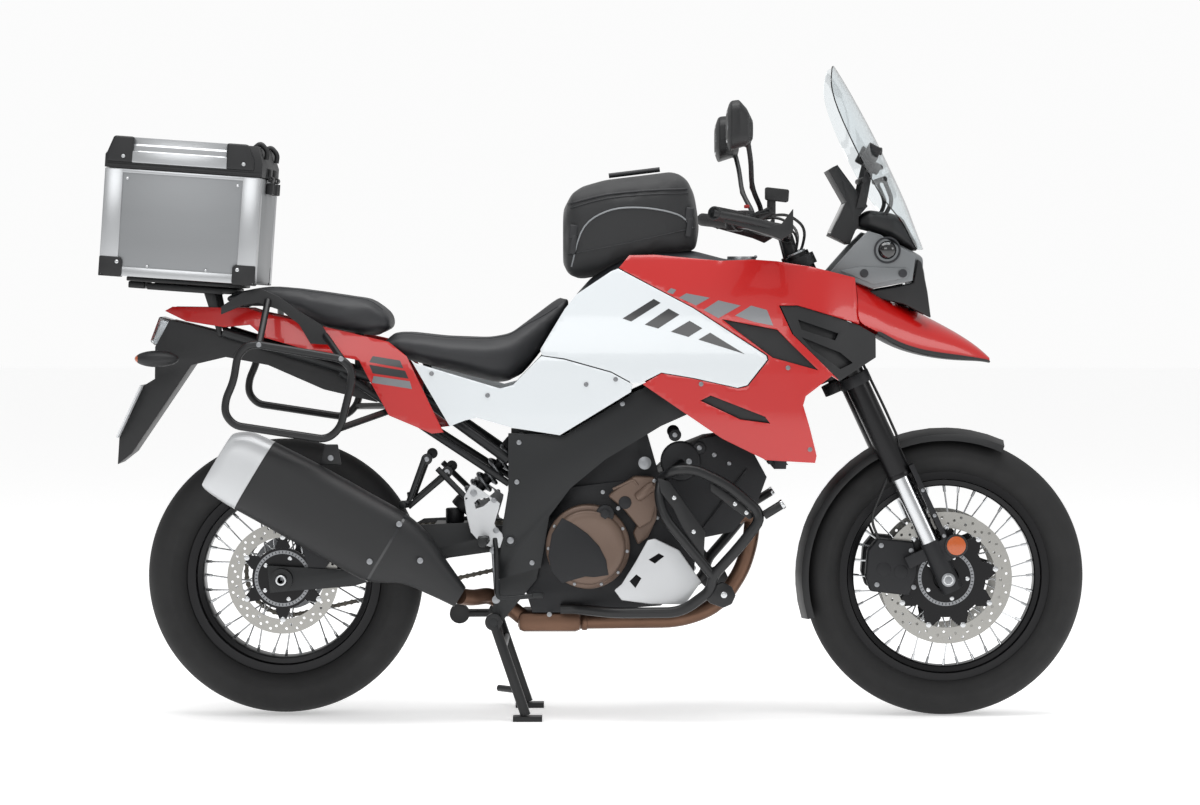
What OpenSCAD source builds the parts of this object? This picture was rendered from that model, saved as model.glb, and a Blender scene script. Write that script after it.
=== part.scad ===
// Adventure motorcycle with a top box, a tank bag, pannier frames and crash bars, on its centre stand.
// Millimetres. +X is forward, +Y is the rider's left, +Z is up. The origin is on the floor.

/* [Wheels] */
// Distance between the two axles
wheelbase = 1555; // [1520:5:1900]
// Height of both axles above the floor
axle_z = 330; // [330:1:336]
// Outer radius of the front tyre
front_tyre_r = 330; // [310:1:330]
// Width of the front tyre
front_tyre_w = 110; // [84:1:112]
// Outer radius of the rear tyre
rear_tyre_r = 324; // [300:1:326]
// Width of the rear tyre
rear_tyre_w = 150; // [110:1:160]
// Spokes in each wheel
spoke_count = 36; // [24:4:40]
// Radius of the front brake discs
front_disc_r = 155; // [140:1:158]
// Radius of the rear brake disc
rear_disc_r = 130; // [115:1:140]
// Outer radius of both axle tubes
axle_r = 12.5; // [10:0.5:14]
// Radius of the hole through both axles
axle_bore_r = 8; // [5:0.5:9]

/* [Front end] */
// Steering axis angle from vertical, in degrees
rake = 25; // [24:0.5:26]
// Distance from the steering axis forward to the fork tubes
fork_offset = 40; // [36:1:44]
// Half the distance between the fork tubes
fork_half_gap = 105; // [103:1:112]
// Radius of the upper fork tubes
fork_tube_r = 28; // [22:0.5:30]
// Half the width of the handlebar, to the outer ends of the grips
bar_half_w = 440; // [380:5:530]
// Radius of the handlebar
bar_r = 12; // [10:0.5:13]

/* [Luggage] */
// Length of the top box, front to back
box_l = 362; // [300:1:435]
// Width of the top box
box_w = 400; // [330:1:480]
// Height of the top box body, without its lid
box_h = 248; // [205:1:300]
// Height of the top box lid
lid_h = 72; // [58:1:90]
// Wall of the top box
box_wall = 4; // [3:0.5:6]
// Half the distance between the two pannier frames
pannier_half_gap = 262; // [255:1:320]
// Radius of the pannier frame tube
pannier_tube_r = 9; // [7:0.5:11]

/* [Stands] */
// Half the distance between the centre stand's legs
stand_half_gap = 128; // [128:1:150]
// Radius of the centre stand's leg tube
stand_tube_r = 12; // [9:0.5:13]

/* [Hidden] */

// Wheels and axles
front_x = 820;
rear_x = front_x - wheelbase;
hub_clear = 0.3;
move_gap = 5;
front_bead_r = 236;
rear_bead_r = 214;
front_axle_half = fork_half_gap + fork_tube_r - 2;
rear_axle_half = 140;
tyre_wall = 0.2;

// Fork and steering: everything on the steering is drawn along the fork tubes, from the front axle up
stem_r = 14;
head_low = 532;
head_high = 796;
lower_clamp_z = 500;
upper_clamp_z = 802;
clamp_h = 26;
fork_top = 842;
slider_top = 262;
foot_top = 96;
front_disc_y = 70;
caliper_half = 25;
disc_t = 5;

// Top box: drawn from its front bottom edge, tilted nose down
box_x = -787;
box_z = 1016;
box_pitch = 4;
lid_gap = 1;
lid_hinge_out = 9;
lid_pin_r = 3;
rack_t = 10;

// Centre stand: drawn down, along its own legs
stand_x = -240;
stand_z = 232;
stand_len = sqrt(pow(stand_z, 2) + pow(79, 2));
stand_lean = acos(stand_z / stand_len);
stand_pin_r = 10;
side_stand_pivot = [-110, 146, 225];
side_stand_axis = [0, cos(18), sin(18)];
side_stand_pin_r = 5;

// Half-width of the side bodywork along the machine, at its widest height
COWL_W = [[-450, 150], [-300, 172], [-130, 184], [0, 198], [150, 216], [300, 242], [450, 257],
    [520, 246], [600, 206], [650, 182], [720, 140]];
COWL_X = [-450, -300, -130, 0, 100, 200, 300, 380, 450, 520, 560, 600, 650, 690];
COWL_Z = [590, 650, 720, 800, 870, 930, 985, 1030, 1065, 1100];
TAIL_W = [[-1020, 62], [-950, 96], [-850, 118], [-700, 132], [-560, 136], [-430, 152], [-330, 170]];
TAIL_X = [-1030, -950, -850, -770, -700, -630, -560, -490, -430, -380, -330];
TAIL_Z = [660, 740, 800, 850, 900, 970];
cowl_t = 4;
seam = 0.6;
post_gap = 1.3;

function cowl_y(x, z) = lookup(x, COWL_W) - 78 * pow(max(0, z - 830) / 270, 1.6)
    - 30 * pow(max(0, 720 - z) / 110, 1.5);
function tail_y(x, z) = lookup(x, TAIL_W) - 34 * pow(max(0, z - 800) / 170, 1.5);
function spow(v, p) = sign(v) * pow(abs(v), p);
function flat(lists) = [for (l = lists) for (p = l) p];

// A closed ring across the machine at x: half-width w, from z0 up to z1, squarer as p falls
function ring(x, z0, z1, w, p = 0.5, n = 20, y = 0) = [for (i = [0:n - 1]) let (a = 360 * i / n)
    [x, y + w * spow(cos(a), p), (z0 + z1) / 2 + (z1 - z0) / 2 * spow(sin(a), p)]];

// A solid skinned over rings that run along +x, or over a closed run of rings, which has no ends
module loft(rings, closed = false) {
    n = len(rings[0]);
    m = len(rings);
    sides = [for (i = [0:closed ? m - 1 : m - 2]) for (j = [0:n - 1]) let (k = (j + 1) % n, a = i * n, b = (i + 1) % m * n)
        each [[a + j, b + j, b + k], [a + j, b + k, a + k]]];
    start = [for (j = [1:n - 2]) [0, j, j + 1]];
    end = [for (j = [1:n - 2]) [(m - 1) * n, (m - 1) * n + j + 1, (m - 1) * n + j]];
    polyhedron(flat(rings), closed ? sides : concat(sides, start, end));
}

// A thick sheet between an outer and an inner grid of points
module sheet(outer, inner) {
    m = len(outer[0]);
    last = len(outer) - 1;
    half = len(outer) * m;
    function o(i, j) = i * m + j;
    function b(i, j) = half + i * m + j;
    skin = [for (i = [0:last - 1]) for (j = [0:m - 2])
        each [[o(i, j), o(i, j + 1), o(i + 1, j + 1)], [o(i, j), o(i + 1, j + 1), o(i + 1, j)],
            [b(i, j), b(i + 1, j + 1), b(i, j + 1)], [b(i, j), b(i + 1, j), b(i + 1, j + 1)]]];
    rims = [for (i = [0:last - 1]) each [[o(i, 0), o(i + 1, 0), b(i + 1, 0)], [o(i, 0), b(i + 1, 0), b(i, 0)],
        [o(i + 1, m - 1), o(i, m - 1), b(i, m - 1)], [o(i + 1, m - 1), b(i, m - 1), b(i + 1, m - 1)]]];
    ends = [for (j = [0:m - 2]) each [[o(0, j + 1), o(0, j), b(0, j)], [o(0, j + 1), b(0, j), b(0, j + 1)],
        [o(last, j), o(last, j + 1), b(last, j + 1)], [o(last, j), b(last, j + 1), b(last, j)]]];
    polyhedron(concat(flat(outer), flat(inner)), concat(skin, rims, ends));
}

module both() {
    children();
    mirror([0, 1, 0]) children();
}

// A side outline in x and z, drawn from y0 to y1
module slab(outline, y0, y1) {
    translate([0, y1, 0]) rotate([90, 0, 0]) linear_extrude(y1 - y0) polygon(outline);
}

module rod(a, b, r, fn = 24) {
    d = b - a;
    translate(a) rotate([0, acos(d[2] / norm(d)), atan2(d[1], d[0])]) cylinder(h = norm(d), r = r, $fn = fn);
}

// A bent tube: straight runs with a slightly fuller ball at each bend
module pipe(points, r) {
    for (i = [0:len(points) - 2]) rod(points[i], points[i + 1], r);
    for (i = [1:len(points) - 2]) translate(points[i]) rotate([37, 0, 29]) sphere(r = r + 0.3, $fn = 24);
}

// A bent tube in one skin, for long guards: each bend is cut across twice, and no run may lie along y
function unit(v) = v / norm(v);
function tube_ring(c, dir, r, n = 16) = let (u = unit(cross([0, 1, 0], dir)), v = cross(dir, u))
    [for (i = [0:n - 1]) c + r * (cos(360 * i / n) * u + sin(360 * i / n) * v)];
module tube(points, r, closed = false) {
    last = len(points) - 1;
    ways = [for (i = [0:last]) unit(points[(i + 1) % (last + 1)] - points[i])];
    bends = [for (i = [closed ? 0 : 1:closed ? last : last - 1]) let (before = ways[(i + last) % (last + 1)])
        each [tube_ring(points[i] - 0.8 * r * before, before, r), tube_ring(points[i] + 0.8 * r * ways[i], ways[i], r)]];
    if (closed) loft(bends, true);
    else loft(concat([tube_ring(points[0], ways[0], r)], bends, [tube_ring(points[last], ways[last - 1], r)]));
}

// A cylinder across the machine, from y0 to y1
module across(x, z, r, y0, y1, fn = 48) {
    translate([x, y1, z]) rotate([90, 0, 0]) cylinder(h = y1 - y0, r = r, $fn = fn);
}

module on_fork() {
    translate([front_x, 0, axle_z]) rotate([0, -rake, 0]) children();
}

module on_box() {
    translate([box_x, 0, box_z]) rotate([0, box_pitch, 0]) children();
}

module cowl_skin(y_of, xs, zs) {
    sheet([for (x = xs) [for (z = zs) [x, -y_of(x, z), z]]],
        [for (x = xs) [for (z = zs) [x, cowl_t - y_of(x, z), z]]]);
}

// Wheels: each is drawn on its own axis, then stood on its axle
function tyre_ring(r, bead, w) = let (mid = (r + bead) / 2, deep = r - mid)
    [for (a = [-140:14:140]) [mid + deep * cos(a), w / 2 * spow(sin(a), 0.85)]];
module tyre(r, bead, w) {
    outer = tyre_ring(r, bead, w);
    mid = (r + bead) / 2;
    inner = [for (p = outer) [mid + (p[0] - mid) * (1 - tyre_wall), p[1] * (1 - tyre_wall)]];
    turned = [for (i = [len(inner) - 1:-1:0]) inner[i]];
    rotate_extrude($fn = 96) polygon(concat(outer, turned));
}

module rim(bead, w) {
    lip = bead + 14;
    rotate_extrude($fn = 96) polygon([[bead - 18, -w * 0.3], [bead - 4, -w * 0.36], [bead - 2, -w / 2 + 4],
        [lip, -w / 2], [lip, -w / 2 - 3], [bead - 6, -w / 2 - 3], [bead - 9, -w * 0.38], [bead - 23, -w * 0.32],
        [bead - 23, w * 0.32], [bead - 9, w * 0.38], [bead - 6, w / 2 + 3], [lip, w / 2 + 3], [lip, w / 2],
        [bead - 2, w / 2 - 4], [bead - 4, w * 0.36], [bead - 18, w * 0.3]]);
}

module hub(bead, half_w, flange_r, bore) {
    spoke_end = bead - 23.6;
    difference() {
        union() {
            cylinder(h = 2 * half_w, r = 30, center = true, $fn = 48);
            for (s = [-1, 1]) translate([0, 0, s * (half_w - 14) - 4]) cylinder(h = 8, r = flange_r, $fn = 48);
            for (i = [0:spoke_count - 1]) let (side = (i % 2) * 2 - 1, lead = (floor(i / 2) % 2) * 2 - 1,
                a = i * 360 / spoke_count, h = half_w - 14)
                rod([(flange_r - 5) * cos(a - lead * 28), (flange_r - 5) * sin(a - lead * 28), side * h],
                    [spoke_end * cos(a), spoke_end * sin(a), side * 12], 2, 6);
        }
        cylinder(h = 3 * half_w, r = bore, center = true, $fn = 48);
    }
}

module disc(r, hub_r) {
    linear_extrude(disc_t, center = true) {
        difference() {
            circle(r = r, $fn = 72);
            circle(r = r - 36, $fn = 72);
        }
        difference() {
            circle(r = hub_r + 14, $fn = 48);
            circle(r = hub_r, $fn = 48);
        }
        for (i = [0:5]) rotate(i * 60) translate([hub_r + 5, -9]) square([r - 40 - hub_r, 18]);
    }
}

module on_front() {
    translate([front_x, 0, axle_z]) rotate([90, 0, 0]) children();
}

module on_rear() {
    translate([rear_x, 0, axle_z]) rotate([90, 0, 0]) children();
}

module front_tyre() {
    color("#1b1b1c") on_front() tyre(front_tyre_r, front_bead_r + 0.5, front_tyre_w);
}

module rear_tyre() {
    color("#1b1b1c") on_rear() tyre(rear_tyre_r, rear_bead_r + 1, rear_tyre_w);
}

module front_rim() {
    color("#161617") on_front() rim(front_bead_r, 62);
}

module rear_rim() {
    color("#161617") on_rear() rim(rear_bead_r, 106);
}

module front_hub() {
    color("#b9bcc0") on_front() hub(front_bead_r, 58, 52, axle_r + hub_clear);
}

module rear_hub() {
    color("#b9bcc0") on_rear() hub(rear_bead_r, 68, 58, axle_r + hub_clear);
}

module front_discs() {
    color("#a9a9a6") for (s = [-1, 1]) on_front() translate([0, 0, s * front_disc_y]) disc(front_disc_r, 30);
    color("#a9a9a6") for (s = [-1, 1]) on_front() translate([0, 0, s * (front_disc_y - 10)]) difference() {
        cylinder(h = 16, r = 42, center = true, $fn = 48);
        cylinder(h = 20, r = 30.3, center = true, $fn = 48);
    }
}

rear_disc_y = 86;
sprocket_y = 89;
sprocket_r = 92;
chain_w = 16;
module rear_disc() {
    color("#a9a9a6") on_rear() {
        translate([0, 0, rear_disc_y]) disc(rear_disc_r, 30);
        translate([0, 0, (rear_disc_y + 58) / 2]) difference() {
            cylinder(h = rear_disc_y - 58, r = 42, center = true, $fn = 48);
            cylinder(h = 60, r = 30.3, center = true, $fn = 48);
        }
    }
}

module sprocket() {
    color("#8d8f92") on_rear() difference() {
        union() {
            translate([0, 0, -sprocket_y - 4]) cylinder(h = 8, r = sprocket_r, $fn = 60);
            translate([0, 0, -sprocket_y]) cylinder(h = sprocket_y - 58.5, r = 46, $fn = 48);
        }
        cylinder(h = 300, r = 30, center = true, $fn = 48);
        for (i = [0:4]) rotate(i * 72) translate([68, 0, 0]) cylinder(h = 300, r = 12, center = true, $fn = 24);
    }
}

module axle(half) {
    difference() {
        cylinder(h = 2 * half, r = axle_r, center = true, $fn = 48);
        cylinder(h = 3 * half, r = axle_bore_r, center = true, $fn = 48);
    }
}

module front_axle() {
    color("#c4c6c9") on_front() axle(front_axle_half);
}

module rear_axle() {
    color("#c4c6c9") on_rear() axle(rear_axle_half);
}

// Front end
module fork_tubes() {
    color("#17181a") on_fork() for (s = [-1, 1]) translate([0, s * fork_half_gap, slider_top])
        cylinder(h = fork_top - slider_top, r = fork_tube_r, $fn = 48);
}

module fork_legs() {
    color("#d5d8db") on_fork() for (s = [-1, 1]) translate([0, s * fork_half_gap, foot_top])
        cylinder(h = slider_top - foot_top, r = fork_tube_r - 6.5, $fn = 48);
}

module fork_feet() {
    foot_half = fork_tube_r - 3;
    lug_in = front_disc_y + caliper_half + 0.3 - fork_half_gap;
    color("#1b1c1e") difference() {
        on_fork() for (s = [-1, 1]) translate([0, s * fork_half_gap, 0]) {
            translate([0, 0, -30]) cylinder(h = foot_top + 30, r = foot_half, $fn = 48);
            translate([fork_tube_r + 0.3, -22, 40]) cube([12, 44, 240]);
            translate([0, -20, 40]) cube([fork_tube_r + 1, 40, foot_top - 45]);
            translate([-70, s > 0 ? lug_in : -lug_in - 18, 60]) cube([66, 18, 28]);
        }
        on_front() cylinder(h = 400, r = axle_r, center = true, $fn = 48);
    }
}

module clamp(z, extra) {
    translate([0, 0, z]) difference() {
        union() {
            for (s = [-1, 1]) translate([0, s * fork_half_gap, 0]) cylinder(h = clamp_h, r = fork_tube_r + extra, $fn = 48);
            translate([-fork_offset, 0, 0]) cylinder(h = clamp_h, r = 34, $fn = 48);
            translate([2 - fork_offset, -fork_half_gap, 1]) cube([fork_offset + 10, 2 * fork_half_gap, clamp_h - 2]);
        }
        for (s = [-1, 1]) translate([0, s * fork_half_gap, -1])
            cylinder(h = clamp_h + 2, r = fork_tube_r, $fn = 48);
    }
}

module fork_clamps() {
    color("#9c9fa3") on_fork() {
        clamp(lower_clamp_z, 9);
        clamp(upper_clamp_z, 8);
        translate([-fork_offset, 0, lower_clamp_z]) cylinder(h = upper_clamp_z + clamp_h - lower_clamp_z, r = stem_r, $fn = 48);
    }
}

bar_mid = [446, 0, 1128];
bar_end = [262, -bar_half_w, 1178];
function bar_route(s) = [[bar_mid[0], s * 70, bar_mid[2]], [bar_mid[0] - 12, s * 130, bar_mid[2] + 10],
    [bar_mid[0] - 74, s * 215, bar_mid[2] + 34], [bar_end[0], s * bar_half_w, bar_end[2]]];
module bar_tube(extra) {
    rod([bar_mid[0], -70, bar_mid[2]], [bar_mid[0], 70, bar_mid[2]], bar_r + 2 + extra);
    for (s = [-1, 1]) {
        pipe(bar_route(s), bar_r + extra);
        rod(bar_route(s)[2] + [-8, s * 12, 1], [bar_end[0], s * bar_half_w, bar_end[2]], bar_r + 4 + extra);
    }
}

module handlebar() {
    color("#1a1a1b") difference() {
        union() {
            bar_tube(0);
            for (s = [-1, 1]) rod([464, s * 38, 1066], [bar_mid[0], s * 38, bar_mid[2]], 18);
        }
        on_fork() translate([-150, -80, upper_clamp_z - 40]) cube([300, 160, clamp_h + 40]);
    }
}

module bar_controls() {
    color("#1d1e20") difference() {
        union() {
            for (s = [-1, 1]) {
                rod([402, s * 240, 1189], [300, s * 385, 1160], 5);
                rod([360, s * 232, 1166], [404, s * 242, 1190], 9);
                pipe([[262, s * (bar_half_w - 2), 1178], [330, s * (bar_half_w - 14), 1166], [424, s * (bar_half_w - 60), 1142],
                    [420, s * 250, 1150], [388, s * 186, 1156]], 9);
                slab([[269, 1188], [330, 1170], [388, 1152], [415, 1156], [441, 1190], [441, 1134], [415, 1118],
                    [386, 1130], [270, 1162]], s * 400 - 4, s * 400 + 4);
            }
            slab([[386, 1241], [440, 1235], [438, 1206], [386, 1212]], -262, -212);
            rod([400, -240, 1180], [400, -240, 1214], 10);
        }
        bar_tube(0.3);
    }
}

module mirrors() {
    color("#151617") for (s = [-1, 1]) {
        pipe([[380, s * 204, 1175], [376, s * 216, 1196], [354, s * 262, 1240], [349, s * 330, 1300], [340, s * 372, 1345]], 6);
        translate([0, s * 385, 0]) loft([ring(292, 1340, 1405, 62), ring(300, 1318, 1430, 84),
            ring(318, 1324, 1432, 84), ring(336, 1330, 1412, 70), ring(350, 1342, 1385, 40)]);
    }
}

fender_in = 338;
module front_fender() {
    color("#17181a") {
        on_front() rotate(66) rotate_extrude(angle = 131, $fn = 96)
            polygon([[fender_in - 16, -70], [fender_in, -62], [fender_in + 7, -30], [fender_in + 12, 0],
                [fender_in + 7, 30], [fender_in, 62], [fender_in - 16, 70], [fender_in - 16, 66],
                [fender_in - 3, 58], [fender_in + 3, 30], [fender_in + 7, 0], [fender_in + 3, -30],
                [fender_in - 3, -58], [fender_in - 16, -66]]);
        on_fork() for (s = [-1, 1]) translate([-20, s * (fork_half_gap - fork_tube_r - 5.1) - 4.9, 278])
            cube([52, 9.8, 64]);
    }
}

module front_calipers() {
    color("#232427") for (s = [-1, 1]) translate([0, s * front_disc_y, 0]) difference() {
        slab([[635, 396], [658, 424], [742, 416], [754, 372], [749, 335], [732, 290], [641, 300], [630, 334]],
            s > 0 ? -caliper_half + 3 : -caliper_half, s > 0 ? caliper_half : caliper_half - 3);
        across(front_x, axle_z, front_disc_r + move_gap, -disc_t / 2 - move_gap, disc_t / 2 + move_gap, 72);
    }
}

// Frame, engine and running gear
spar_in = 112;
spar_out = 150;
pivot_x = -200;
pivot_z = 424;
pivot_r = 13;
module head_tube_bore() {
    on_fork() translate([-fork_offset, 0, head_low - 20]) cylinder(h = 400, r = stem_r + 1, $fn = 48);
}

module main_frame() {
    color("#1c1d1f") difference() {
        union() {
            on_fork() translate([-fork_offset, 0, head_low]) cylinder(h = head_high - head_low, r = 34, $fn = 48);
            both() intersection() {
                slab([[-205, 540], [-205, 672], [-75, 667], [88, 768], [330, 878], [462, 986], [520, 1010], [560, 900],
                    [540, 830], [330, 770], [150, 690], [20, 612], [-61, 545], [-110, 480], [-130, 360], [-240, 330],
                    [-225, 420]], 10, 160);
                translate([0, 0, 200]) linear_extrude(900) polygon([[-300, spar_in], [190, spar_in], [420, 38], [600, 10],
                    [600, 32], [440, 68], [200, spar_out], [-300, spar_out]]);
            }
            across(stand_x, stand_z, stand_pin_r, -stand_half_gap - 11, stand_half_gap + 11);
            across(-180, 652, 12, -spar_in - 1, spar_in + 1);
            across(60, 742, 8, -spar_in - 1, spar_in + 1);
            translate([60, 0, 742]) cylinder(h = 49, r = 9, $fn = 24);
            slab([[-200, 330], [-130, 362], [-92, 240], [-98, 208], [-124, 208], [-150, 300]], 114, 131.5);
            rod(side_stand_pivot - side_stand_axis * 17, side_stand_pivot + side_stand_axis * 9, side_stand_pin_r);
            both() difference() {
                rod([520, 20, 955], [612, 20, 1076], 8);
                translate([607.6, -60, 900]) cube(300);
            }
            both() slab([[-252, 222], [-228, 222], [-140, 330], [-130, 380], [-215, 380]], spar_in - 0.7, spar_in + 2.4);
            across(-175, 555, 12, -spar_in - 1, spar_in + 1);
        }
        head_tube_bore();
        across(pivot_x, pivot_z, pivot_r + 0.3, -200, 200);
    }
}

rail_y = 74;
rail_start = spar_in + 19;
rail_end = [-873.7, rail_y, 908];
module brace(extra) {
    rod([-190, rail_start, 545.6], [-600, rail_y, 812], 8 + extra);
}

module subframe() {
    color("#1b1c1e") difference() {
        union() {
            both() {
                pipe([[-190, rail_start + 1, 599], [-430, rail_y, 770], rail_end], 12);
                brace(0);
                across(-480, 786, 5, rail_y, tail_y(-480, 786) - cowl_t - post_gap, 24);
                across(-320, 709, 4, 100, cowl_y(-320, 704) - cowl_t - post_gap, 24);
                for (p = [[-400, 752, 833.2], [-560, 811, 906.4]]) translate([p[0], 45, p[1]]) cylinder(h = p[2] - p[1], r = 8, $fn = 24);
            }
            across(-400, 752, 9, -rail_y - 4, rail_y + 4);
            across(-560, 811, 9, -rail_y, rail_y);
        }
        translate([-205.3, -200, 500]) cube([100, 400, 300]);
    }
}

engine_half = 108;
chain_front = [-140, 405];
module engine() {
    color("#232528") {
        difference() {
            slab([[-165, 300], [-165, 505], [-60, 545], [60, 560], [190, 520], [236, 440], [226, 330], [150, 268],
                [-60, 252], [-150, 252]], -engine_half, engine_half);
            across(chain_front[0], chain_front[1], 66, sprocket_y - 15, engine_half + 1);
        }
        both() {
            across(-145, 450, 16, engine_half - 1, spar_in - 0.3);
            across(60, 690, 14, 91, spar_in - 0.3);
        }
        slab([[-70, 540], [-62, 690], [20, 740], [110, 700], [150, 560]], -92, 92);
        slab([[150, 540], [192, 636], [253, 660], [342, 671], [398, 568], [378, 513], [320, 440], [220, 420]], -92, 92);
    }
}

module engine_covers() {
    color("#6b5b4b") {
        across(-20, 409, 98, -172, -engine_half - 0.5, 72);
        slab([[20, 531], [88, 575], [136, 572], [143, 463], [100, 440], [54, 490]], -160, -engine_half - 0.5);
    }
    color("#232528") {
        across(-20, 405, 86, engine_half + 0.5, 165, 72);
        slab([[-175, 340], [-175, 430], [-112, 430], [-112, 320]], engine_half + 0.5, 111);
    }
}

module radiator() {
    color("#1e1f21") {
        slab([[412, 590], [440, 590], [452, 770], [424, 770]], -150, 150);
        both() {
            slab([[400, 600], [412, 600], [423, 745], [404, 745]], 30, 130);
            slab([[428, 769], [444, 769], [444, 802], [428, 797.5]], 50, 62);
            across(430, 740, 5, 149, cowl_y(430, 740) - cowl_t - post_gap, 24);
        }
    }
}

pipe_r = 19;
module exhaust_pipe() {
    color("#8a6a55") pipe([[351.4, 0, 478.4], [369, 0, 464], [364, 0, 410], [345, -5, 345],
        [290, -20, 262], [200, -40, 228], [-60, -50, 226]], pipe_r);
    color("#8d8377") {
        translate([-185, -98, 204]) cube([150, 150, 47.7]);
        difference() {
            pipe([[-160, -68, 226], [-215, -70, 270], [-252, -84, 290], [-290, -150, 290], [-330, -204, 304]], pipe_r);
            on_muffler() translate([-4.3, -100, -100]) cube(200);
        }
    }
}

muffler_at = [-318, -196, 300];
muffler_rise = 31;
module on_muffler() {
    translate(muffler_at) rotate([0, muffler_rise, 0]) mirror([1, 0, 0]) children();
}

muffler_len = 586;
module muffler() {
    color("#1c1d1f") on_muffler() loft([for (r = [[-4, -27, 24, 30], [60, -33, 52, 42], [128, -44, 84, 52], [200, -80, 99, 62],
        [300, -86, 98, 64], [430, -90, 94, 64], [muffler_len, -95, 82, 60]]) ring(r[0], r[1], r[2], r[3], 0.7, 24)]);
    color("#1c1d1f") slab([[-640, 600], [-590, 600], [-598, 650], [-628, 650]], -188, -176);
}

module muffler_end() {
    color("#c3c6ca") on_muffler() difference() {
        loft([ring(muffler_len + 0.2, -94, 81, 59, 0.7, 24), ring(muffler_len + 54, -84, 50, 46, 0.7, 24)]);
        translate([muffler_len + 12, 0, -20]) rotate([0, 90, 0]) cylinder(h = 60, r = 26, $fn = 48);
    }
}

module belly_cowls() {
    color("#d8dadc") both() {
        difference() {
            slab([[128, 432], [189, 405], [243, 331], [205, 276], [60, 285], [40, 318], [84, 358]], 180, 186);
            slab([[132, 392], [160, 380], [172, 350], [146, 362]], 170, 200);
            slab([[84, 336], [112, 330], [126, 304], [98, 306]], 170, 200);
        }
        for (p = [[150, 325], [110, 318]]) across(p[0], p[1], 8, engine_half + 0.3, 181, 24);
    }
}

crash_y = 238;
crash_r = 12.5;
module crash_bars() {
    color("#1a1b1c") both() {
        tube([[150, 190, 568], [180, crash_y, 594], [226, crash_y, 594], [300, crash_y, 560], [384, crash_y, 488],
            [330, crash_y, 418], [268, crash_y - 14, 348], [262, 214, 312], [196, 205, 262], [40, 180, 258], [-50, 122, 262],
            [-86, engine_half + crash_r + 0.5, 262]], crash_r);
        tube([[150, 190, 568], [142, 216, 530], [156, crash_y - 4, 484], [268, crash_y - 14, 348]], crash_r - 1);
        rod([384, crash_y, 488], [426, crash_y, 514], crash_r - 2);
        rod([150, 190, 568], [197.4, 97.3, 602.1], 9);
    }
}

// Tank, bodywork and seats
TANK = [[-185, 782, 792, 95], [-133, 784, 848, 110], [-75, 788, 938, 120], [-52, 790, 990, 124], [-15, 790, 1032, 130],
    [34, 790, 1066, 136], [75, 794, 1090, 139], [137, 812, 1100, 140], [226, 850, 1098, 140], [302, 890, 1078, 136],
    [345, 915, 1076, 120], [368, 935, 1072, 66], [400, 958, 1064, 52]];
cap_x = 342;
cap_z = 1079;
module tank_shape() {
    loft([for (t = TANK) ring(t[0], t[1], t[2], t[3], 0.42, 24)]);
}

module fuel_tank() {
    color("#1f2022") difference() {
        union() {
            tank_shape();
            translate([cap_x, 0, cap_z - 25]) cylinder(h = 24, r = 42, $fn = 48);
            both() across(60, 818, 5, 110, cowl_y(60, 818) - cowl_t - post_gap, 24);
        }
        translate([cap_x, 0, cap_z - 8]) cylinder(h = 30, r = 36, $fn = 48);
    }
}

module fuel_cap() {
    color("#b6b9bd") translate([cap_x, 0, cap_z - 7.6]) cylinder(h = 12.6, r = 34, $fn = 48);
    color("#b6b9bd") across(cap_x + 33, cap_z + 4, 4, -8, 8, 24);
}

module tank_bag() {
    color("#222326") difference() {
        loft([ring(-74, 1044, 1190, 88, 0.4), ring(-60, 1030, 1236, 104, 0.4), ring(20, 1040, 1259, 118, 0.4),
            ring(110, 1060, 1270, 122, 0.4), ring(190, 1070, 1280, 118, 0.4), ring(216, 1080, 1262, 110, 0.4),
            ring(236, 1090, 1180, 96, 0.4)]);
        translate([0, 0, 0.3]) tank_shape();
    }
}

// Side outlines of the body panels: each is cut back from its neighbour by the seam
module red_2d() polygon([[52, 1057], [76, 1086], [136, 1087], [286, 1073], [360, 1076], [415, 1072], [496, 1059], [598, 1034],
    [606, 928], [462, 971], [418, 971], [448, 905], [556, 799], [540, 809], [479, 763], [473, 742], [489, 689],
    [506, 625], [503, 608], [389, 615], [288, 665], [106, 789], [149, 814], [223, 802], [324, 780], [347, 786],
    [394, 846], [391, 857], [224, 965]]);
module white_2d() polygon([[-126, 852], [-130, 868], [-74, 961], [-47, 995], [34, 1049], [51, 1056], [228, 970], [400, 860],
    [400, 840], [348, 780], [324, 775], [223, 797], [149, 809], [101, 785], [80, 785], [34, 810], [-74, 841]]);
module cover_2d() polygon([[-430, 844], [-420, 836], [-223, 778], [-193, 786], [-132, 850], [-126, 856], [-74, 846], [34, 816],
    [84, 789], [79, 771], [-85, 670], [-196, 687], [-277, 710], [-304, 704], [-340, 690]]);
module vent_2d() polygon([[412, 976], [460, 976], [604, 922], [645, 902], [645, 850], [559, 794], [440, 900]]);

module skin_panel() {
    intersection() {
        cowl_skin(function (x, z) cowl_y(x, z), COWL_X, COWL_Z);
        translate([0, -60, 0]) rotate([90, 0, 0]) linear_extrude(260) children();
    }
}

module side_cowls() {
    color("#d2150f") both() skin_panel() red_2d();
    color("#e6eaed") both() skin_panel() difference() {
        white_2d();
        offset(delta = seam) red_2d();
    }
}

module side_covers() {
    color("#e6eaed") both() skin_panel() difference() {
        cover_2d();
        offset(delta = seam) white_2d();
        offset(delta = seam) red_2d();
    }
}

module cowl_vents() {
    color("#1b1c1e") both() skin_panel() difference() {
        vent_2d();
        offset(delta = seam) red_2d();
    }
}

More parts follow.
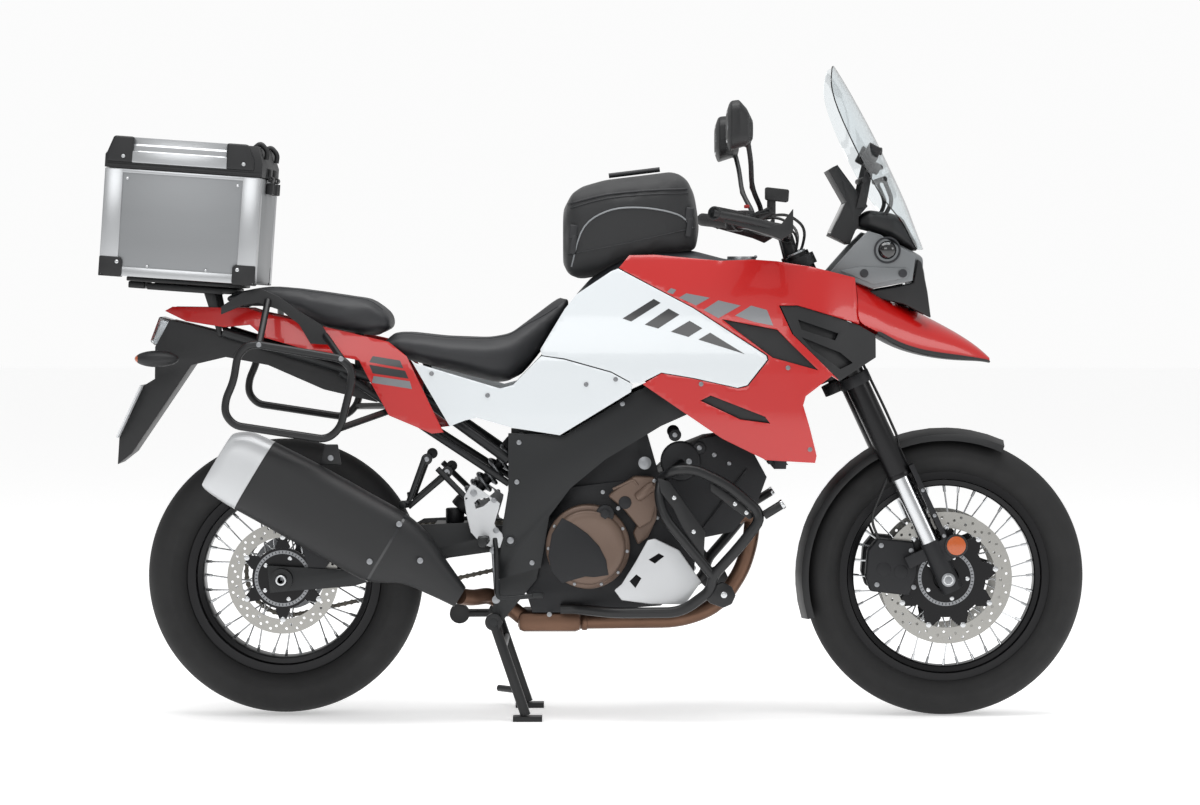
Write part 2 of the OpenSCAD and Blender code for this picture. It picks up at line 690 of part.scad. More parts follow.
function beak_row(x, z_top, z_edge, w, t) = [for (s = [[-1, 0], [-0.96, 0.4], [-0.72, 0.78], [-0.3, 0.96], [0, 1], [0.3, 0.96],
    [0.72, 0.78], [0.96, 0.4], [1, 0]]) [x, s[0] * (w - t), z_edge + (z_top - z_edge - t) * s[1]]];
BEAK = [[610, 1036, 926, 186], [650, 1006, 910, 166], [700, 984, 876, 142], [770, 947, 858, 108], [844, 909, 849, 70],
    [900, 872, 841, 38], [926, 846, 836, 14]];
module beak() {
    color("#d2150f") sheet([for (b = BEAK) beak_row(b[0], b[1], b[2], b[3], 0)], [for (b = BEAK) beak_row(b[0], b[1], b[2], b[3], 4)]);
}

module headlight() {
    color("#8b8f93") loft([ring(608, 1040, 1108, 84), ring(640, 1014, 1143.8, 112), ring(690, 1022, 1122.8, 116),
        ring(735, 1036, 1100.2, 100), ring(764, 1046, 1084, 74)]);
}

module nose_fairing() {
    color("#17181a") loft([ring(612, 1150, 1174, 80), ring(638, 1145, 1193, 104), ring(690, 1124, 1186, 104), ring(716, 1110, 1176, 88),
        ring(752, 1094, 1112, 50)]);
}

SCREEN = [[1100, 773, 752, 60], [1165, 748, 718, 130], [1199, 735, 667, 168], [1230, 721, 636, 172], [1333, 674, 592, 172],
    [1457, 607, 540, 150], [1512, 573, 550, 110], [1530, 561, 554, 70]];
screen_t = 4;
module windscreen() {
    across_steps = [-1:0.25:1];
    color("#dfe7ec", 0.5) sheet([for (t = across_steps) [for (s = SCREEN) [s[1] - (s[1] - s[2]) * t * t, s[3] * t, s[0]]]],
        [for (t = across_steps) [for (s = SCREEN) [s[1] - (s[1] - s[2]) * t * t - screen_t, s[3] * t, s[0]]]]);
}

module instruments() {
    color("#18191b") slab([[562, 1297], [541, 1284], [583, 1211], [547, 1133], [591, 1112], [605, 1145], [611.6, 1150],
        [611.6, 1176], [633, 1201]], -84, 84);
    color("#18191b") both() slab([[606, 1196], [628, 1198], [651, 1322], [636, 1322]], 84.3, 90);
    color("#18191b") rod([624, -104, 1262], [624, 104, 1262], 7);
    color("#18191b") both() across(600, 1215, 5, 83, 85, 24);
}

module rider_seat() {
    color("#1e1f21") loft([for (s = [[-500, 866, 893, 120], [-457, 850, 903, 138], [-354, 824, 891, 148], [-252, 797, 888, 148],
        [-200, 788, 899, 138], [-165, 826, 925, 124], [-133, 866, 949, 112], [-100, 917, 975, 100], [-75, 954, 993, 90],
        [-67, 984, 991, 80]]) ring(s[0], s[1], s[2], s[3], 0.55, 24)]);
}

module pillion_seat() {
    color("#1e1f21") loft([for (s = [[-871, 972, 986, 92], [-830, 972, 998, 112], [-770, 972, 1009, 122], [-698, 951, 1003, 126],
        [-633, 922, 995, 128], [-526, 902, 979, 126], [-490, 906, 950, 116], [-478, 906, 936, 104]])
        ring(s[0], s[1], s[2], s[3], 0.5, 24)]);
}

module tail_cowls() {
    color("#d2150f") both() intersection() {
        cowl_skin(function (x, z) tail_y(x, z), TAIL_X, TAIL_Z);
        slab([[-1015, 956], [-996, 966], [-815, 963], [-785, 953], [-631, 919], [-483, 885], [-441, 852], [-355, 676], [-382, 673],
            [-482, 714], [-528, 797], [-552, 842], [-608, 853], [-679, 868], [-773, 895], [-809, 925], [-868, 919], [-963, 933]], -200, -20);
    }
}

grab_y = 144;
module grab_rails() {
    color("#1a1b1c") both() {
        slab([[-869, 949], [-869, 967], [-819, 1000], [-777, 1009], [-736, 990], [-695, 960], [-636, 924], [-610, 878], [-662, 881],
            [-689, 926], [-730, 958], [-783, 976], [-819, 970]], grab_y, grab_y + 16);
        across(-636, 895, 9, tail_y(-636, 895) + 8, grab_y + 1, 24);
    }
}

module luggage_rack() {
    color("#1b1c1e") {
        on_box() {
            translate([-310, -95, -rack_t - 0.3]) cube([270, 190, rack_t]);
        }
        both() slab([[-925, 1015], [-895, 1012.9], [-878, 930], [-877.6, 896], [-886, 896]], 62.3, 67.5);
    }
}

module top_box() {
    color("#a7aaad") on_box() difference() {
        translate([-box_l, -box_w / 2, 0]) cube([box_l, box_w, box_h]);
        translate([box_wall - box_l, box_wall - box_w / 2, box_wall]) cube([box_l - 2 * box_wall, box_w - 2 * box_wall, box_h]);
    }
    color("#1a1b1c") on_box() {
        for (y = [-130, 90]) difference() {
            union() {
                translate([lid_hinge_out, y, box_h]) rotate([-90, 0, 0]) cylinder(h = 40, r = 7, $fn = 32);
                translate([-2, y, box_h - 24]) cube([lid_hinge_out + 2, 40, 23]);
            }
            translate([-1, y - 1, box_h - 0.5]) mirror([1, 0, 0]) cube([5, 42, 20]);
        }
        translate([lid_hinge_out, -130, box_h]) rotate([-90, 0, 0]) cylinder(h = 260, r = lid_pin_r, $fn = 32);
    }
}

lid_inset = 14;
module top_box_lid() {
    color("#1a1b1c") on_box() {
        difference() {
            lid_block(0);
            lid_block(box_wall);
        }
        for (y = [-84, 44]) difference() {
            union() {
                translate([lid_hinge_out, y, box_h]) rotate([-90, 0, 0]) cylinder(h = 40, r = 7, $fn = 32);
                translate([-1, y, box_h + lid_gap]) cube([lid_hinge_out + 1, 40, 22]);
            }
            translate([lid_hinge_out, y - 1, box_h]) rotate([-90, 0, 0]) cylinder(h = 42, r = lid_pin_r + 0.05, $fn = 32);
        }
    }
}

module lid_block(inset) {
    z0 = box_h + lid_gap - (inset > 0 ? 1 : 0);
    z1 = box_h + lid_h - inset;
    intersection() {
        slab([[-box_l + inset, z0], [-box_l + inset, z0 + 30], [lid_inset + inset - box_l + 14, z1], [-lid_inset - inset, z1],
            [-inset, z0 + 30], [-inset, z0]], -box_w, box_w);
        translate([-box_l - 1, 0, 0]) rotate([90, 0, 90]) linear_extrude(box_l + 2) polygon([[-box_w / 2 + inset, z0],
            [-box_w / 2 + inset, z0 + 30], [-box_w / 2 + inset + lid_inset, z1], [box_w / 2 - inset - lid_inset, z1],
            [box_w / 2 - inset, z0 + 30], [box_w / 2 - inset, z0]]);
    }
}

module rear_fender() {
    color("#1b1c1e") {
        slab([[-1000, 935], [-1035, 872], [-1036, 797], [-1062, 781], [-1120, 658], [-1124, 596], [-1091, 622], [-950, 829],
            [-870, 848], [-770, 829], [-640, 772], [-515, 742], [-545, 790], [-780, 880], [-960, 925]], -61.5, 61.5);
        both() rod([-1010, 59, 846], [-1014, 150, 846], 7);
    }
}

plate_t = 4;
module number_plate() {
    color("#e2e3e4") slab([[-1062.2, 781], [-1119.6, 659], [-1119.6 - plate_t, 661], [-1062.2 - plate_t, 783]], -95, 95);
}

module rear_lights() {
    color("#c9ced2") {
        slab([[-1000.4, 936], [-1035.4, 873], [-1050, 884], [-1028, 944]], -46, 46);
        both() translate([0, 176.8, 0]) loft([ring(-1068, 836, 856, 16, 0.8), ring(-1040, 828, 866, 26, 0.8),
            ring(-990, 830, 866, 27, 0.8), ring(-966, 838, 856, 16, 0.8)]);
    }
}

function loop_route(lift) = [[-830, 796 + lift], [-820, 858 + lift], [-796, 880 + lift], [-771, 881 + lift], [-583, 849 + lift], [-560, 826 + lift],
    [-560, 794 + lift], [-586, 690 + lift], [-617, 664 + lift], [-828, 696 + lift], [-850, 722 + lift], [-848, 756 + lift]];
module pannier_frames() {
    color("#161718") for (s = [-1, 1]) {
        tube([for (p = loop_route(s > 0 ? 30 : 0)) [p[0], s * pannier_half_gap, p[1]]], pannier_tube_r, true);
        difference() {
            union() {
                rod([-771, s * pannier_half_gap, 881 + (s > 0 ? 30 : 0)], [-760, s * (grab_y + 10), 987], 8);
                rod([-583, s * pannier_half_gap, 849 + (s > 0 ? 30 : 0)], [-630, s * (grab_y + 10), 902], 8);
            }
            translate([-900, -grab_y - 16.3, 800]) cube([400, 2 * grab_y + 32.6, 300]);
        }
        difference() {
            rod([-586, s * pannier_half_gap, 690 + (s > 0 ? 30 : 0)], [-470, s * 97, 728], 8);
            both() brace(0.3);
        }
    }
}

arm_y = 100;
arm_t = 28;
plate_arm = 11;
module swingarm() {
    color("#1d1e20") difference() {
        union() {
            both() {
                slab([[rear_x - 34, 362], [rear_x + 136, 352], [-414, 457], [-308, 462], [-176, 452], [-176, 404], [-345, 380],
                    [rear_x + 168, 314], [rear_x + 50, 305], [rear_x - 28, 298]], arm_y, arm_y + plate_arm);
                across(rear_x, axle_z, 26, arm_y, arm_y + arm_t);
            }
            slab([[-380, 400], [-380, 455], [-305, 455], [-305, 390]], -arm_y - 1, 70);
            slab([[-380, 400], [-380, 430], [-305, 430], [-305, 390]], 69, arm_y + 1);
        }
        across(rear_x, axle_z, axle_r, -300, 300);
        across(pivot_x, pivot_z, pivot_r + 0.3, -200, 200);
    }
    color("#8d8f92") difference() {
        across(pivot_x, pivot_z, pivot_r, -spar_out, spar_out);
        across(pivot_x, pivot_z, 8, -200, 200);
    }
}

module rear_shock() {
    color("#232427") {
        translate([-335, 0, 455.3]) cylinder(h = 34, r = 22, $fn = 48);
        rod([-322, 0, 486], [-188.2, 0, 642.4], 28, 48);
    }
}

module footrests() {
    color("#b4b7ba") both() {
        slab([[-292, 555], [-224, 511], [-237, 464], [-217, 437], [-224, 406], [-258, 413], [-292, 443], [-309, 525]], spar_out + 0.3, 158);
    }
    color("#1b1c1e") both() {
        rod([-258, 157, 426], [-262, 240, 426], 11);
        tube([[-236, 155, 428], [-232, 174, 396], [-230, 180, 290], [-130, 190, 300]], 6);
        slab([[-401, 625], [-337, 577], [-428, 492], [-452, 520]], 128, 134);
        rod([-440, 133, 508], [-450, 176, 508], 9);
        rod([-370, 133, 590], [-300, 152, 520], 7);
    }
}

module drive_chain() {
    front = chain_front;
    color("#5b5853") difference() {
        hull_outline(18, front);
        hull_outline(5, front);
    }
}

module hull_outline(grow, front) {
    wide = grow > 5 ? chain_w / 2 : chain_w;
    front_r = 34;
    back_r = sprocket_r;
    span = front[0] - rear_x;
    tilt = asin((back_r - front_r) / norm([span, front[1] - axle_z]));
    rise = atan2(front[1] - axle_z, span);
    up = 90 + rise - tilt;
    down = -90 + rise + tilt;
    for (c = [[rear_x, axle_z, back_r], [front[0], front[1], front_r]])
        across(c[0], c[1], c[2] + grow, sprocket_y - wide, sprocket_y + wide, 72);
    slab([for (e = [[rear_x, axle_z, back_r, up], [front[0], front[1], front_r, up], [front[0], front[1], front_r, down],
        [rear_x, axle_z, back_r, down]]) [e[0] + (e[2] + grow) * cos(e[3]), e[1] + (e[2] + grow) * sin(e[3])]],
        sprocket_y - wide, sprocket_y + wide);
}

module rear_caliper() {
    color("#232427") difference() {
        slab([[rear_x + 40, 420], [rear_x + 60, 466], [rear_x + 118, 452], [rear_x + 150, 400], [rear_x + 112, 370],
            [rear_x + 100, 354.5], [rear_x + 62, 356.7]], -rear_disc_y - 22, -rear_disc_y + 8);
        across(rear_x, axle_z, rear_disc_r + 6, -rear_disc_y - disc_t / 2 - move_gap, -rear_disc_y + disc_t / 2 + move_gap);
    }
}

// Stands
module centre_stand() {
    color("#17181a") {
        translate([stand_x, 0, stand_z]) rotate([0, -stand_lean, 0]) {
            for (s = [-1, 1]) {
                difference() {
                    union() {
                        translate([0, s * stand_half_gap, 0]) rotate([90, 0, 0]) cylinder(h = 20, r = 20, center = true, $fn = 48);
                        translate([0, s * stand_half_gap, 14 - stand_len]) cylinder(h = stand_len - 20, r = stand_tube_r, $fn = 24);
                    }
                    translate([0, s * stand_half_gap, 0]) rotate([90, 0, 0]) cylinder(h = 60, r = stand_pin_r + 0.1, center = true, $fn = 48);
                }
            }
            rotate([90, 0, 0]) translate([0, -64, 0]) cylinder(h = 2 * stand_half_gap, r = 10, center = true, $fn = 24);
            translate([0, stand_half_gap, 40 - stand_len]) rod([0, 6, 0], [-60, 70, 20], 8);
        }
        for (s = [-1, 1]) translate([stand_x + 79 - 34, s * stand_half_gap - 20, 0]) cube([68, 40, 12]);
    }
}

module side_stand() {
    color("#17181a") {
        difference() {
            union() {
                translate(side_stand_pivot) sphere(r = 13, $fn = 32);
                pipe([side_stand_pivot, side_stand_pivot + [-60, 18, 0], side_stand_pivot + [-222, 44, -4]], 10);
            }
            rod(side_stand_pivot - side_stand_axis * 16, side_stand_pivot + side_stand_axis * 10, side_stand_pin_r + 0.06);
        }
        rod(side_stand_pivot + [-222, 30, -5], side_stand_pivot + [-222, 42, -3], 24);
    }
}

front_tyre();
rear_tyre();
front_rim();
rear_rim();
front_hub();
rear_hub();
front_discs();
rear_disc();
sprocket();
front_axle();
rear_axle();
fork_tubes();
fork_legs();
fork_feet();
fork_clamps();
handlebar();
bar_controls();
mirrors();
front_fender();
front_calipers();
main_frame();
subframe();
engine();
engine_covers();
radiator();
exhaust_pipe();
muffler();
muffler_end();
belly_cowls();
crash_bars();
fuel_tank();
fuel_cap();
tank_bag();
side_cowls();
side_covers();
cowl_vents();
beak();
headlight();
nose_fairing();
windscreen();
instruments();
rider_seat();
pillion_seat();
tail_cowls();
grab_rails();
luggage_rack();
top_box();
top_box_lid();
rear_fender();
number_plate();
rear_lights();
pannier_frames();
swingarm();
rear_shock();
footrests();
drive_chain();
rear_caliper();
centre_stand();
side_stand();
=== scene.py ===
# %% [markdown]
# # An adventure motorcycle
# A tall touring machine on its centre stand, with an aluminium top box, a tank bag and steel guards.
# The CAD model gives every place and every movement. This script gives the looks: each visible part is
# modelled again or finished over the same solid, and rides on the body that the CAD gives it.

# %% The frame and the units
import math

import bpy
from mathutils import Matrix, Vector


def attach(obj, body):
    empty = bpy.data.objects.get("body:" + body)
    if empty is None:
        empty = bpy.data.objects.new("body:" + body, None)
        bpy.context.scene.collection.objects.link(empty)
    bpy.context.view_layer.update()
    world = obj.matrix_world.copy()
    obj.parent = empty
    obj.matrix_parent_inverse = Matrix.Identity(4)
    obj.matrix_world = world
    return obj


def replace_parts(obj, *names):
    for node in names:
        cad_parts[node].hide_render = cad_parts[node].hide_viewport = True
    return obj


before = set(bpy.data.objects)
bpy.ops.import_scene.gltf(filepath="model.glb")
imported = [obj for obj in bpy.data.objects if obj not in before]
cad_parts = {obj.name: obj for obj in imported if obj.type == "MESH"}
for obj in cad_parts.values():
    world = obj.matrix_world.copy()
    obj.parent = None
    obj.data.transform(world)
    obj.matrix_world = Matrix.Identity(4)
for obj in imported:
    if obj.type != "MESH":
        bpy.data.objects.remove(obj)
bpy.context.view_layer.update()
MM = 0.001

# %% [markdown]
# ## The camera and the studio
# The machine is seen square on from its right side, from eight metres away with a long lens, so that the
# wheels stay round. A white floor, a bright soft surround and a large lamp overhead give the soft dark
# pool under the tyres.

# %% Camera
CAMERA_AWAY = 8.0
camera = bpy.data.objects.new("camera", bpy.data.cameras.new("camera"))
bpy.context.scene.collection.objects.link(camera)
camera.data.lens = 101.6
camera.data.sensor_width = 36
camera.location = (0.008, -CAMERA_AWAY, 1.04)
aim = Vector((0.008, 0, 0.739)) - camera.location
camera.rotation_euler = aim.to_track_quat("-Z", "Y").to_euler()
bpy.context.scene.camera = camera
bpy.context.scene.view_settings.view_transform = "Standard"

# %% Colours and a node helper
def colour(code):
    """A hex colour as the eye sees it, turned to the linear values that shaders use."""
    parts = [int(code[i:i + 2], 16) / 255 for i in (1, 3, 5)]
    return tuple([(c / 12.92 if c <= 0.04045 else ((c + 0.055) / 1.055) ** 2.4) for c in parts] + [1])


def add_node(tree, kind, settings=None, values=None, links=None):
    """Adds one node with its settings, its fixed values and what is plugged into it."""
    node = tree.nodes.new(kind)
    for key, value in (settings or {}).items():
        setattr(node, key, value)
    for key, value in (values or {}).items():
        node.inputs[key].default_value = value
    for key, socket in (links or {}).items():
        tree.links.new(socket, node.inputs[key])
    return node


def new_material(name, base, roughness, metallic=0.0, **more):
    """An empty material with its shader and its object coordinates."""
    material = bpy.data.materials.new(name)
    material.use_nodes = True
    tree = material.node_tree
    tree.nodes.clear()
    shader = add_node(tree, "ShaderNodeBsdfPrincipled", None,
        {"Base Color": colour(base), "Roughness": roughness, "Metallic": metallic})
    for key, value in more.items():
        shader.inputs[key.replace("_", " ").title().replace("Ior", "IOR")].default_value = value
    out = add_node(tree, "ShaderNodeOutputMaterial")
    tree.links.new(shader.outputs[0], out.inputs[0])
    where = add_node(tree, "ShaderNodeTexCoord").outputs["Object"]
    return material, tree, shader, where


def finish(name, base, roughness, metallic=0.0, grain=1.0, depth=0.05, spread=0.06, tone=0.08, patch=60,
    stretch=None, **more):
    """A surface with grain of a real size in millimetres, patchy gloss and a slightly uneven colour."""
    material, tree, shader, where = new_material(name, base, roughness, metallic, **more)
    if stretch:
        where = add_node(tree, "ShaderNodeMapping", None, {"Scale": stretch}, {"Vector": where}).outputs[0]
    fine = add_node(tree, "ShaderNodeTexNoise", None, {"Scale": 1 / (grain * MM), "Detail": 3.0},
        {"Vector": where})
    broad = add_node(tree, "ShaderNodeTexNoise", None, {"Scale": 1 / (patch * MM), "Detail": 4.0},
        {"Vector": where})
    bump = add_node(tree, "ShaderNodeBump", None, {"Strength": depth, "Distance": grain * MM * 0.5},
        {"Height": fine.outputs[0]})
    tree.links.new(bump.outputs[0], shader.inputs["Normal"])
    gloss = add_node(tree, "ShaderNodeMapRange", None, {"To Min": max(0.02, roughness - spread),
        "To Max": min(1, roughness + spread)},
        {"Value": broad.outputs[0]})
    tree.links.new(gloss.outputs[0], shader.inputs["Roughness"])
    shade = add_node(tree, "ShaderNodeMapRange", None, {"To Min": 1 - tone, "To Max": 1 + tone},
        {"Value": broad.outputs[0]})
    tint = add_node(tree, "ShaderNodeMix", {"data_type": "RGBA", "blend_type": "MULTIPLY"},
        {"Factor": 1.0, "A": colour(base)})
    tree.links.new(shade.outputs[0], tint.inputs["B"])
    tree.links.new(tint.outputs["Result"], shader.inputs["Base Color"])
    return material


# %% [markdown]
# ## Finishes
# Gloss paint is a coloured coat under a clear one, so it has a coat layer and almost no grain. The black
# plastics are injection moulded with a fine spark texture. Castings are painted and slightly rough. The
# box is brushed sheet, so its grain is stretched along the brushing.

# %% Paints, plastics and metals
paint_red = finish("gloss_red_paint", "#b40805", 0.32, 0.0, 0.8, 0.02, 0.04, 0.03, 200, coat_weight=0.6,
    coat_roughness=0.06)
paint_white = finish("gloss_white_paint", "#d3d8db", 0.32, 0.0, 0.8, 0.02, 0.04, 0.02, 200, coat_weight=0.8,
    coat_roughness=0.08)
decal_grey = finish("grey_film", "#77797c", 0.34, 0.3, 0.8, 0.03, 0.04, 0.04, 120, coat_weight=0.6,
    coat_roughness=0.1)
decal_black = finish("black_film", "#15171a", 0.3, 0.0, 0.8, 0.03, 0.04, 0.04, 120, coat_weight=0.6,
    coat_roughness=0.1)
moulded_black = finish("moulded_black_plastic", "#131416", 0.52, 0.0, 0.9, 0.12, 0.08, 0.1, 70)
moulded_grey = finish("moulded_grey_plastic", "#212327", 0.48, 0.0, 0.9, 0.1, 0.08, 0.1, 70)
frame_paint = finish("satin_black_frame_paint", "#151719", 0.42, 0.2, 1.4, 0.06, 0.07, 0.08, 50)
powder_black = finish("powder_coated_steel", "#101113", 0.38, 0.1, 1.1, 0.14, 0.06, 0.08, 60)
cast_black = finish("painted_casting", "#17181b", 0.5, 0.3, 1.6, 0.2, 0.08, 0.14, 40)
cast_bronze = finish("bronze_painted_casting", "#67554a", 0.42, 0.35, 1.6, 0.14, 0.08, 0.1, 45)
anodised_black = finish("black_anodised_rim", "#121214", 0.3, 0.5, 0.7, 0.04, 0.05, 0.06, 80)
steel_bright = finish("polished_steel", "#c9cbcd", 0.22, 1.0, 0.9, 0.03, 0.06, 0.05, 50)
steel_disc = finish("ground_disc_steel", "#a3a29e", 0.3, 1.0, 0.5, 0.08, 0.08, 0.08, 30)
steel_dull = finish("zinc_plated_steel", "#8e9093", 0.38, 1.0, 0.8, 0.06, 0.08, 0.1, 30)
alloy_silver = finish("clear_anodised_alloy", "#b1b4b7", 0.36, 0.9, 0.8, 0.05, 0.06, 0.05, 60)
alloy_painted = finish("silver_painted_alloy", "#c2c4c6", 0.4, 0.25, 0.9, 0.05, 0.06, 0.05, 80,
    coat_weight=0.3, coat_roughness=0.2)
alloy_brushed = finish("brushed_aluminium_sheet", "#8c8e90", 0.44, 0.8, 1.6, 0.16, 0.08, 0.07, 90,
    stretch=(0.05, 0.05, 1.0))
alloy_edge = finish("extruded_aluminium", "#b4b6b8", 0.3, 0.9, 1.4, 0.1, 0.06, 0.05, 90,
    stretch=(0.06, 0.06, 1.0))
header_steel = finish("heat_tinted_steel", "#6c5243", 0.42, 0.8, 1.5, 0.1, 0.12, 0.35, 60)
chain_steel = finish("oiled_chain_steel", "#5d5a54", 0.35, 0.9, 0.9, 0.15, 0.1, 0.2, 12)
rubber_tyre = finish("vulcanised_rubber", "#111112", 0.72, 0.0, 1.1, 0.16, 0.1, 0.14, 40)
rubber_grip = finish("moulded_rubber", "#151516", 0.66, 0.0, 1.2, 0.2, 0.08, 0.1, 40)
lamp_shell = finish("grey_lamp_housing", "#777a7c", 0.36, 0.35, 0.9, 0.05, 0.06, 0.06, 60)
plate_white = finish("blank_plate_enamel", "#d4d6d8", 0.35, 0.0, 0.8, 0.03, 0.05, 0.03, 80)
cable_black = finish("pvc_cable_sleeve", "#121314", 0.45, 0.0, 1.0, 0.05, 0.06, 0.05, 30)
red_switch = finish("moulded_red_plastic", "#a81d16", 0.4, 0.0, 0.8, 0.05, 0.05, 0.05, 20)
print("finishes", len(bpy.data.materials))


# %% [markdown]
# ## Modelling helpers
# Every part starts from a primitive: a circle whose corners are put on an outline, a cylinder, a cube or a
# curve. Edit mode then spins or extrudes it, and modifiers round it off. All sizes are given in
# millimetres and stored in metres, with the object itself left at the origin.

# %% Selecting and shaping
def deselect():
    if bpy.context.object and bpy.context.object.mode != "OBJECT":
        bpy.ops.object.mode_set(mode="OBJECT")
    bpy.ops.object.select_all(action="DESELECT")


def activate(obj):
    deselect()
    obj.select_set(True)
    bpy.context.view_layer.objects.active = obj
    return obj


def in_edit(obj, *steps):
    """Runs mesh operators on everything in obj. Each step is an operator and its settings."""
    activate(obj)
    bpy.ops.object.mode_set(mode="EDIT")
    bpy.ops.mesh.select_all(action="SELECT")
    for operator, settings in steps:
        operator(**settings)
    bpy.ops.object.mode_set(mode="OBJECT")
    return obj


def modify(obj, kind, **settings):
    activate(obj)
    modifier = obj.modifiers.new(kind.lower(), kind)
    for key, value in settings.items():
        setattr(modifier, key, value)
    bpy.ops.object.modifier_apply(modifier=modifier.name)
    return obj


def settle(obj, name, material, smooth=35):
    """Names a finished piece, puts its place into its mesh and gives it its finish."""
    activate(obj)
    bpy.ops.object.transform_apply(location=True, rotation=True, scale=True)
    obj.name = obj.data.name = name
    obj.data.materials.clear()
    obj.data.materials.append(material)
    if smooth:
        bpy.ops.object.shade_smooth_by_angle(angle=math.radians(smooth))
    deselect()
    return obj


def joined(parts, name, material=None, smooth=35):
    """Joins loose parts into one piece."""
    deselect()
    for part in parts:
        part.select_set(True)
    bpy.context.view_layer.objects.active = parts[0]
    if len(parts) > 1:
        bpy.ops.object.join()
    piece = bpy.context.object
    if material:
        return settle(piece, name, material, smooth)
    piece.name = piece.data.name = name
    deselect()
    return piece


def ride(piece, body, slot, *replaced):
    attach(piece, body)
    if replaced:
        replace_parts(piece, *replaced)
    return piece


def corners(points, fill="NOTHING"):
    """A circle whose corners are put on the given points, in millimetres."""
    deselect()
    bpy.ops.mesh.primitive_circle_add(vertices=len(points), fill_type=fill)
    ring = bpy.context.object
    for vertex, point in zip(ring.data.vertices, points):
        vertex.co = Vector(point) * MM
    return ring


def spun(profile, centre, steps=96, turn=360):
    """Spins a closed outline of (radius, y) around the wheel axis through centre (x, z)."""
    x, z = centre
    ring = corners([(x, y, z + r) for r, y in profile])
    return in_edit(ring,
        (bpy.ops.mesh.spin, {"steps": steps, "angle": math.radians(turn), "center": (x * MM, 0, z * MM),
        "axis": (0, 1, 0)}),
        (bpy.ops.mesh.remove_doubles, {"threshold": 0.00002}),
        (bpy.ops.mesh.normals_make_consistent, {"inside": False}))


def plate(outline, y0, y1, round_off=1.0, segments=2):
    """A flat plate cut to an outline of (x, z), from y0 to y1, with rounded edges."""
    piece = corners([(x, y0, z) for x, z in outline], "NGON")
    in_edit(piece,
        (bpy.ops.mesh.extrude_region_move, {"TRANSFORM_OT_translate": {"value": (0, (y1 - y0) * MM, 0)}}),
        (bpy.ops.mesh.select_all, {"action": "SELECT"}),
        (bpy.ops.mesh.normals_make_consistent, {"inside": False}))
    if round_off:
        modify(piece, "BEVEL", width=round_off * MM, segments=segments, limit_method="ANGLE",
            angle_limit=math.radians(30))
    return piece


def rod(a, b, radius, sides=16, radius_end=None, round_off=0):
    """A round bar from a to b, tapered where radius_end is given."""
    a, b = Vector(a), Vector(b)
    deselect()
    bpy.ops.mesh.primitive_cone_add(vertices=sides, radius1=radius * MM, depth=(b - a).length * MM,
        radius2=(radius if radius_end is None else radius_end) * MM, location=(a + b) / 2 * MM,
        rotation=(b - a).to_track_quat("Z", "Y").to_euler())
    piece = bpy.context.object
    bpy.ops.object.transform_apply()
    if round_off:
        modify(piece, "BEVEL", width=round_off * MM, segments=2, limit_method="ANGLE",
            angle_limit=math.radians(40))
    return piece


def across(x, z, radius, y0, y1, sides=32, round_off=0):
    return rod((x, y0, z), (x, y1, z), radius, sides, None, round_off)


def block(centre, size, turn=(0, 0, 0), round_off=1.5):
    """A rounded block: size in millimetres, turned in degrees."""
    deselect()
    bpy.ops.mesh.primitive_cube_add(size=1, location=Vector(centre) * MM,
        rotation=[math.radians(t) for t in turn],
        scale=Vector(size) * MM)
    piece = bpy.context.object
    bpy.ops.object.transform_apply()
    return modify(piece, "BEVEL", width=round_off * MM, segments=2)


def rounded_route(points, bend):
    """A route whose corners are swept round at a radius, as a tube is bent."""
    points = [Vector(p) for p in points]
    route = [points[0]]
    for before, here, after in zip(points, points[1:], points[2:]):
        back, on = (before - here), (after - here)
        reach = min(bend, back.length * 0.48, on.length * 0.48)
        start, end = here + back.normalized() * reach, here + on.normalized() * reach
        for i in range(7):
            t = i / 6
            route.append(start * (1 - t) ** 2 + here * 2 * t * (1 - t) + end * t * t)
    return route + [points[-1]]


def tube(points, radius, bend=30, closed=False, fineness=4):
    """A bent tube along a route in millimetres."""
    route = rounded_route(list(points) + ([points[0], points[1]] if closed else []), bend)
    if closed:
        route = route[1:-1]
    data = bpy.data.curves.new("route", "CURVE")
    data.dimensions = "3D"
    data.bevel_depth = radius * MM
    data.bevel_resolution = fineness
    data.use_fill_caps = not closed
    line = data.splines.new("POLY")
    line.points.add(len(route) - 1)
    for spot, point in zip(line.points, route):
        spot.co = (*(point * MM), 1)
    line.use_cyclic_u = closed
    piece = bpy.data.objects.new("route", data)
    bpy.context.scene.collection.objects.link(piece)
    activate(piece)
    bpy.ops.object.convert(target="MESH")
    piece = bpy.context.object
    return in_edit(piece, (bpy.ops.mesh.remove_doubles, {"threshold": 0.00001}),
        (bpy.ops.mesh.normals_make_consistent, {"inside": False}))


def copy_of(node, merge=0.00002):
    """A loose copy of a CAD node, with its corners merged."""
    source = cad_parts[node]
    piece = source.copy()
    piece.data = source.data.copy()
    bpy.context.scene.collection.objects.link(piece)
    return in_edit(piece, (bpy.ops.mesh.remove_doubles, {"threshold": merge}))


def rounded_copy(node, width=1.5, segments=2):
    """A CAD node with its flat faces joined up and its edges rounded, as a casting or pressing has them."""
    piece = copy_of(node)
    in_edit(piece, (bpy.ops.mesh.dissolve_limited, {"angle_limit": math.radians(4)}))
    return modify(piece, "BEVEL", width=width * MM, segments=segments, limit_method="ANGLE",
        angle_limit=math.radians(28))


def moulded_copy(node, voxel=4.0, smooth=20):
    """A CAD node remeshed in small squares and smoothed, as a moulding flows."""
    piece = copy_of(node)
    modify(piece, "REMESH", mode="VOXEL", voxel_size=voxel * MM, use_smooth_shade=True)
    return modify(piece, "SMOOTH", factor=0.5, iterations=smooth)


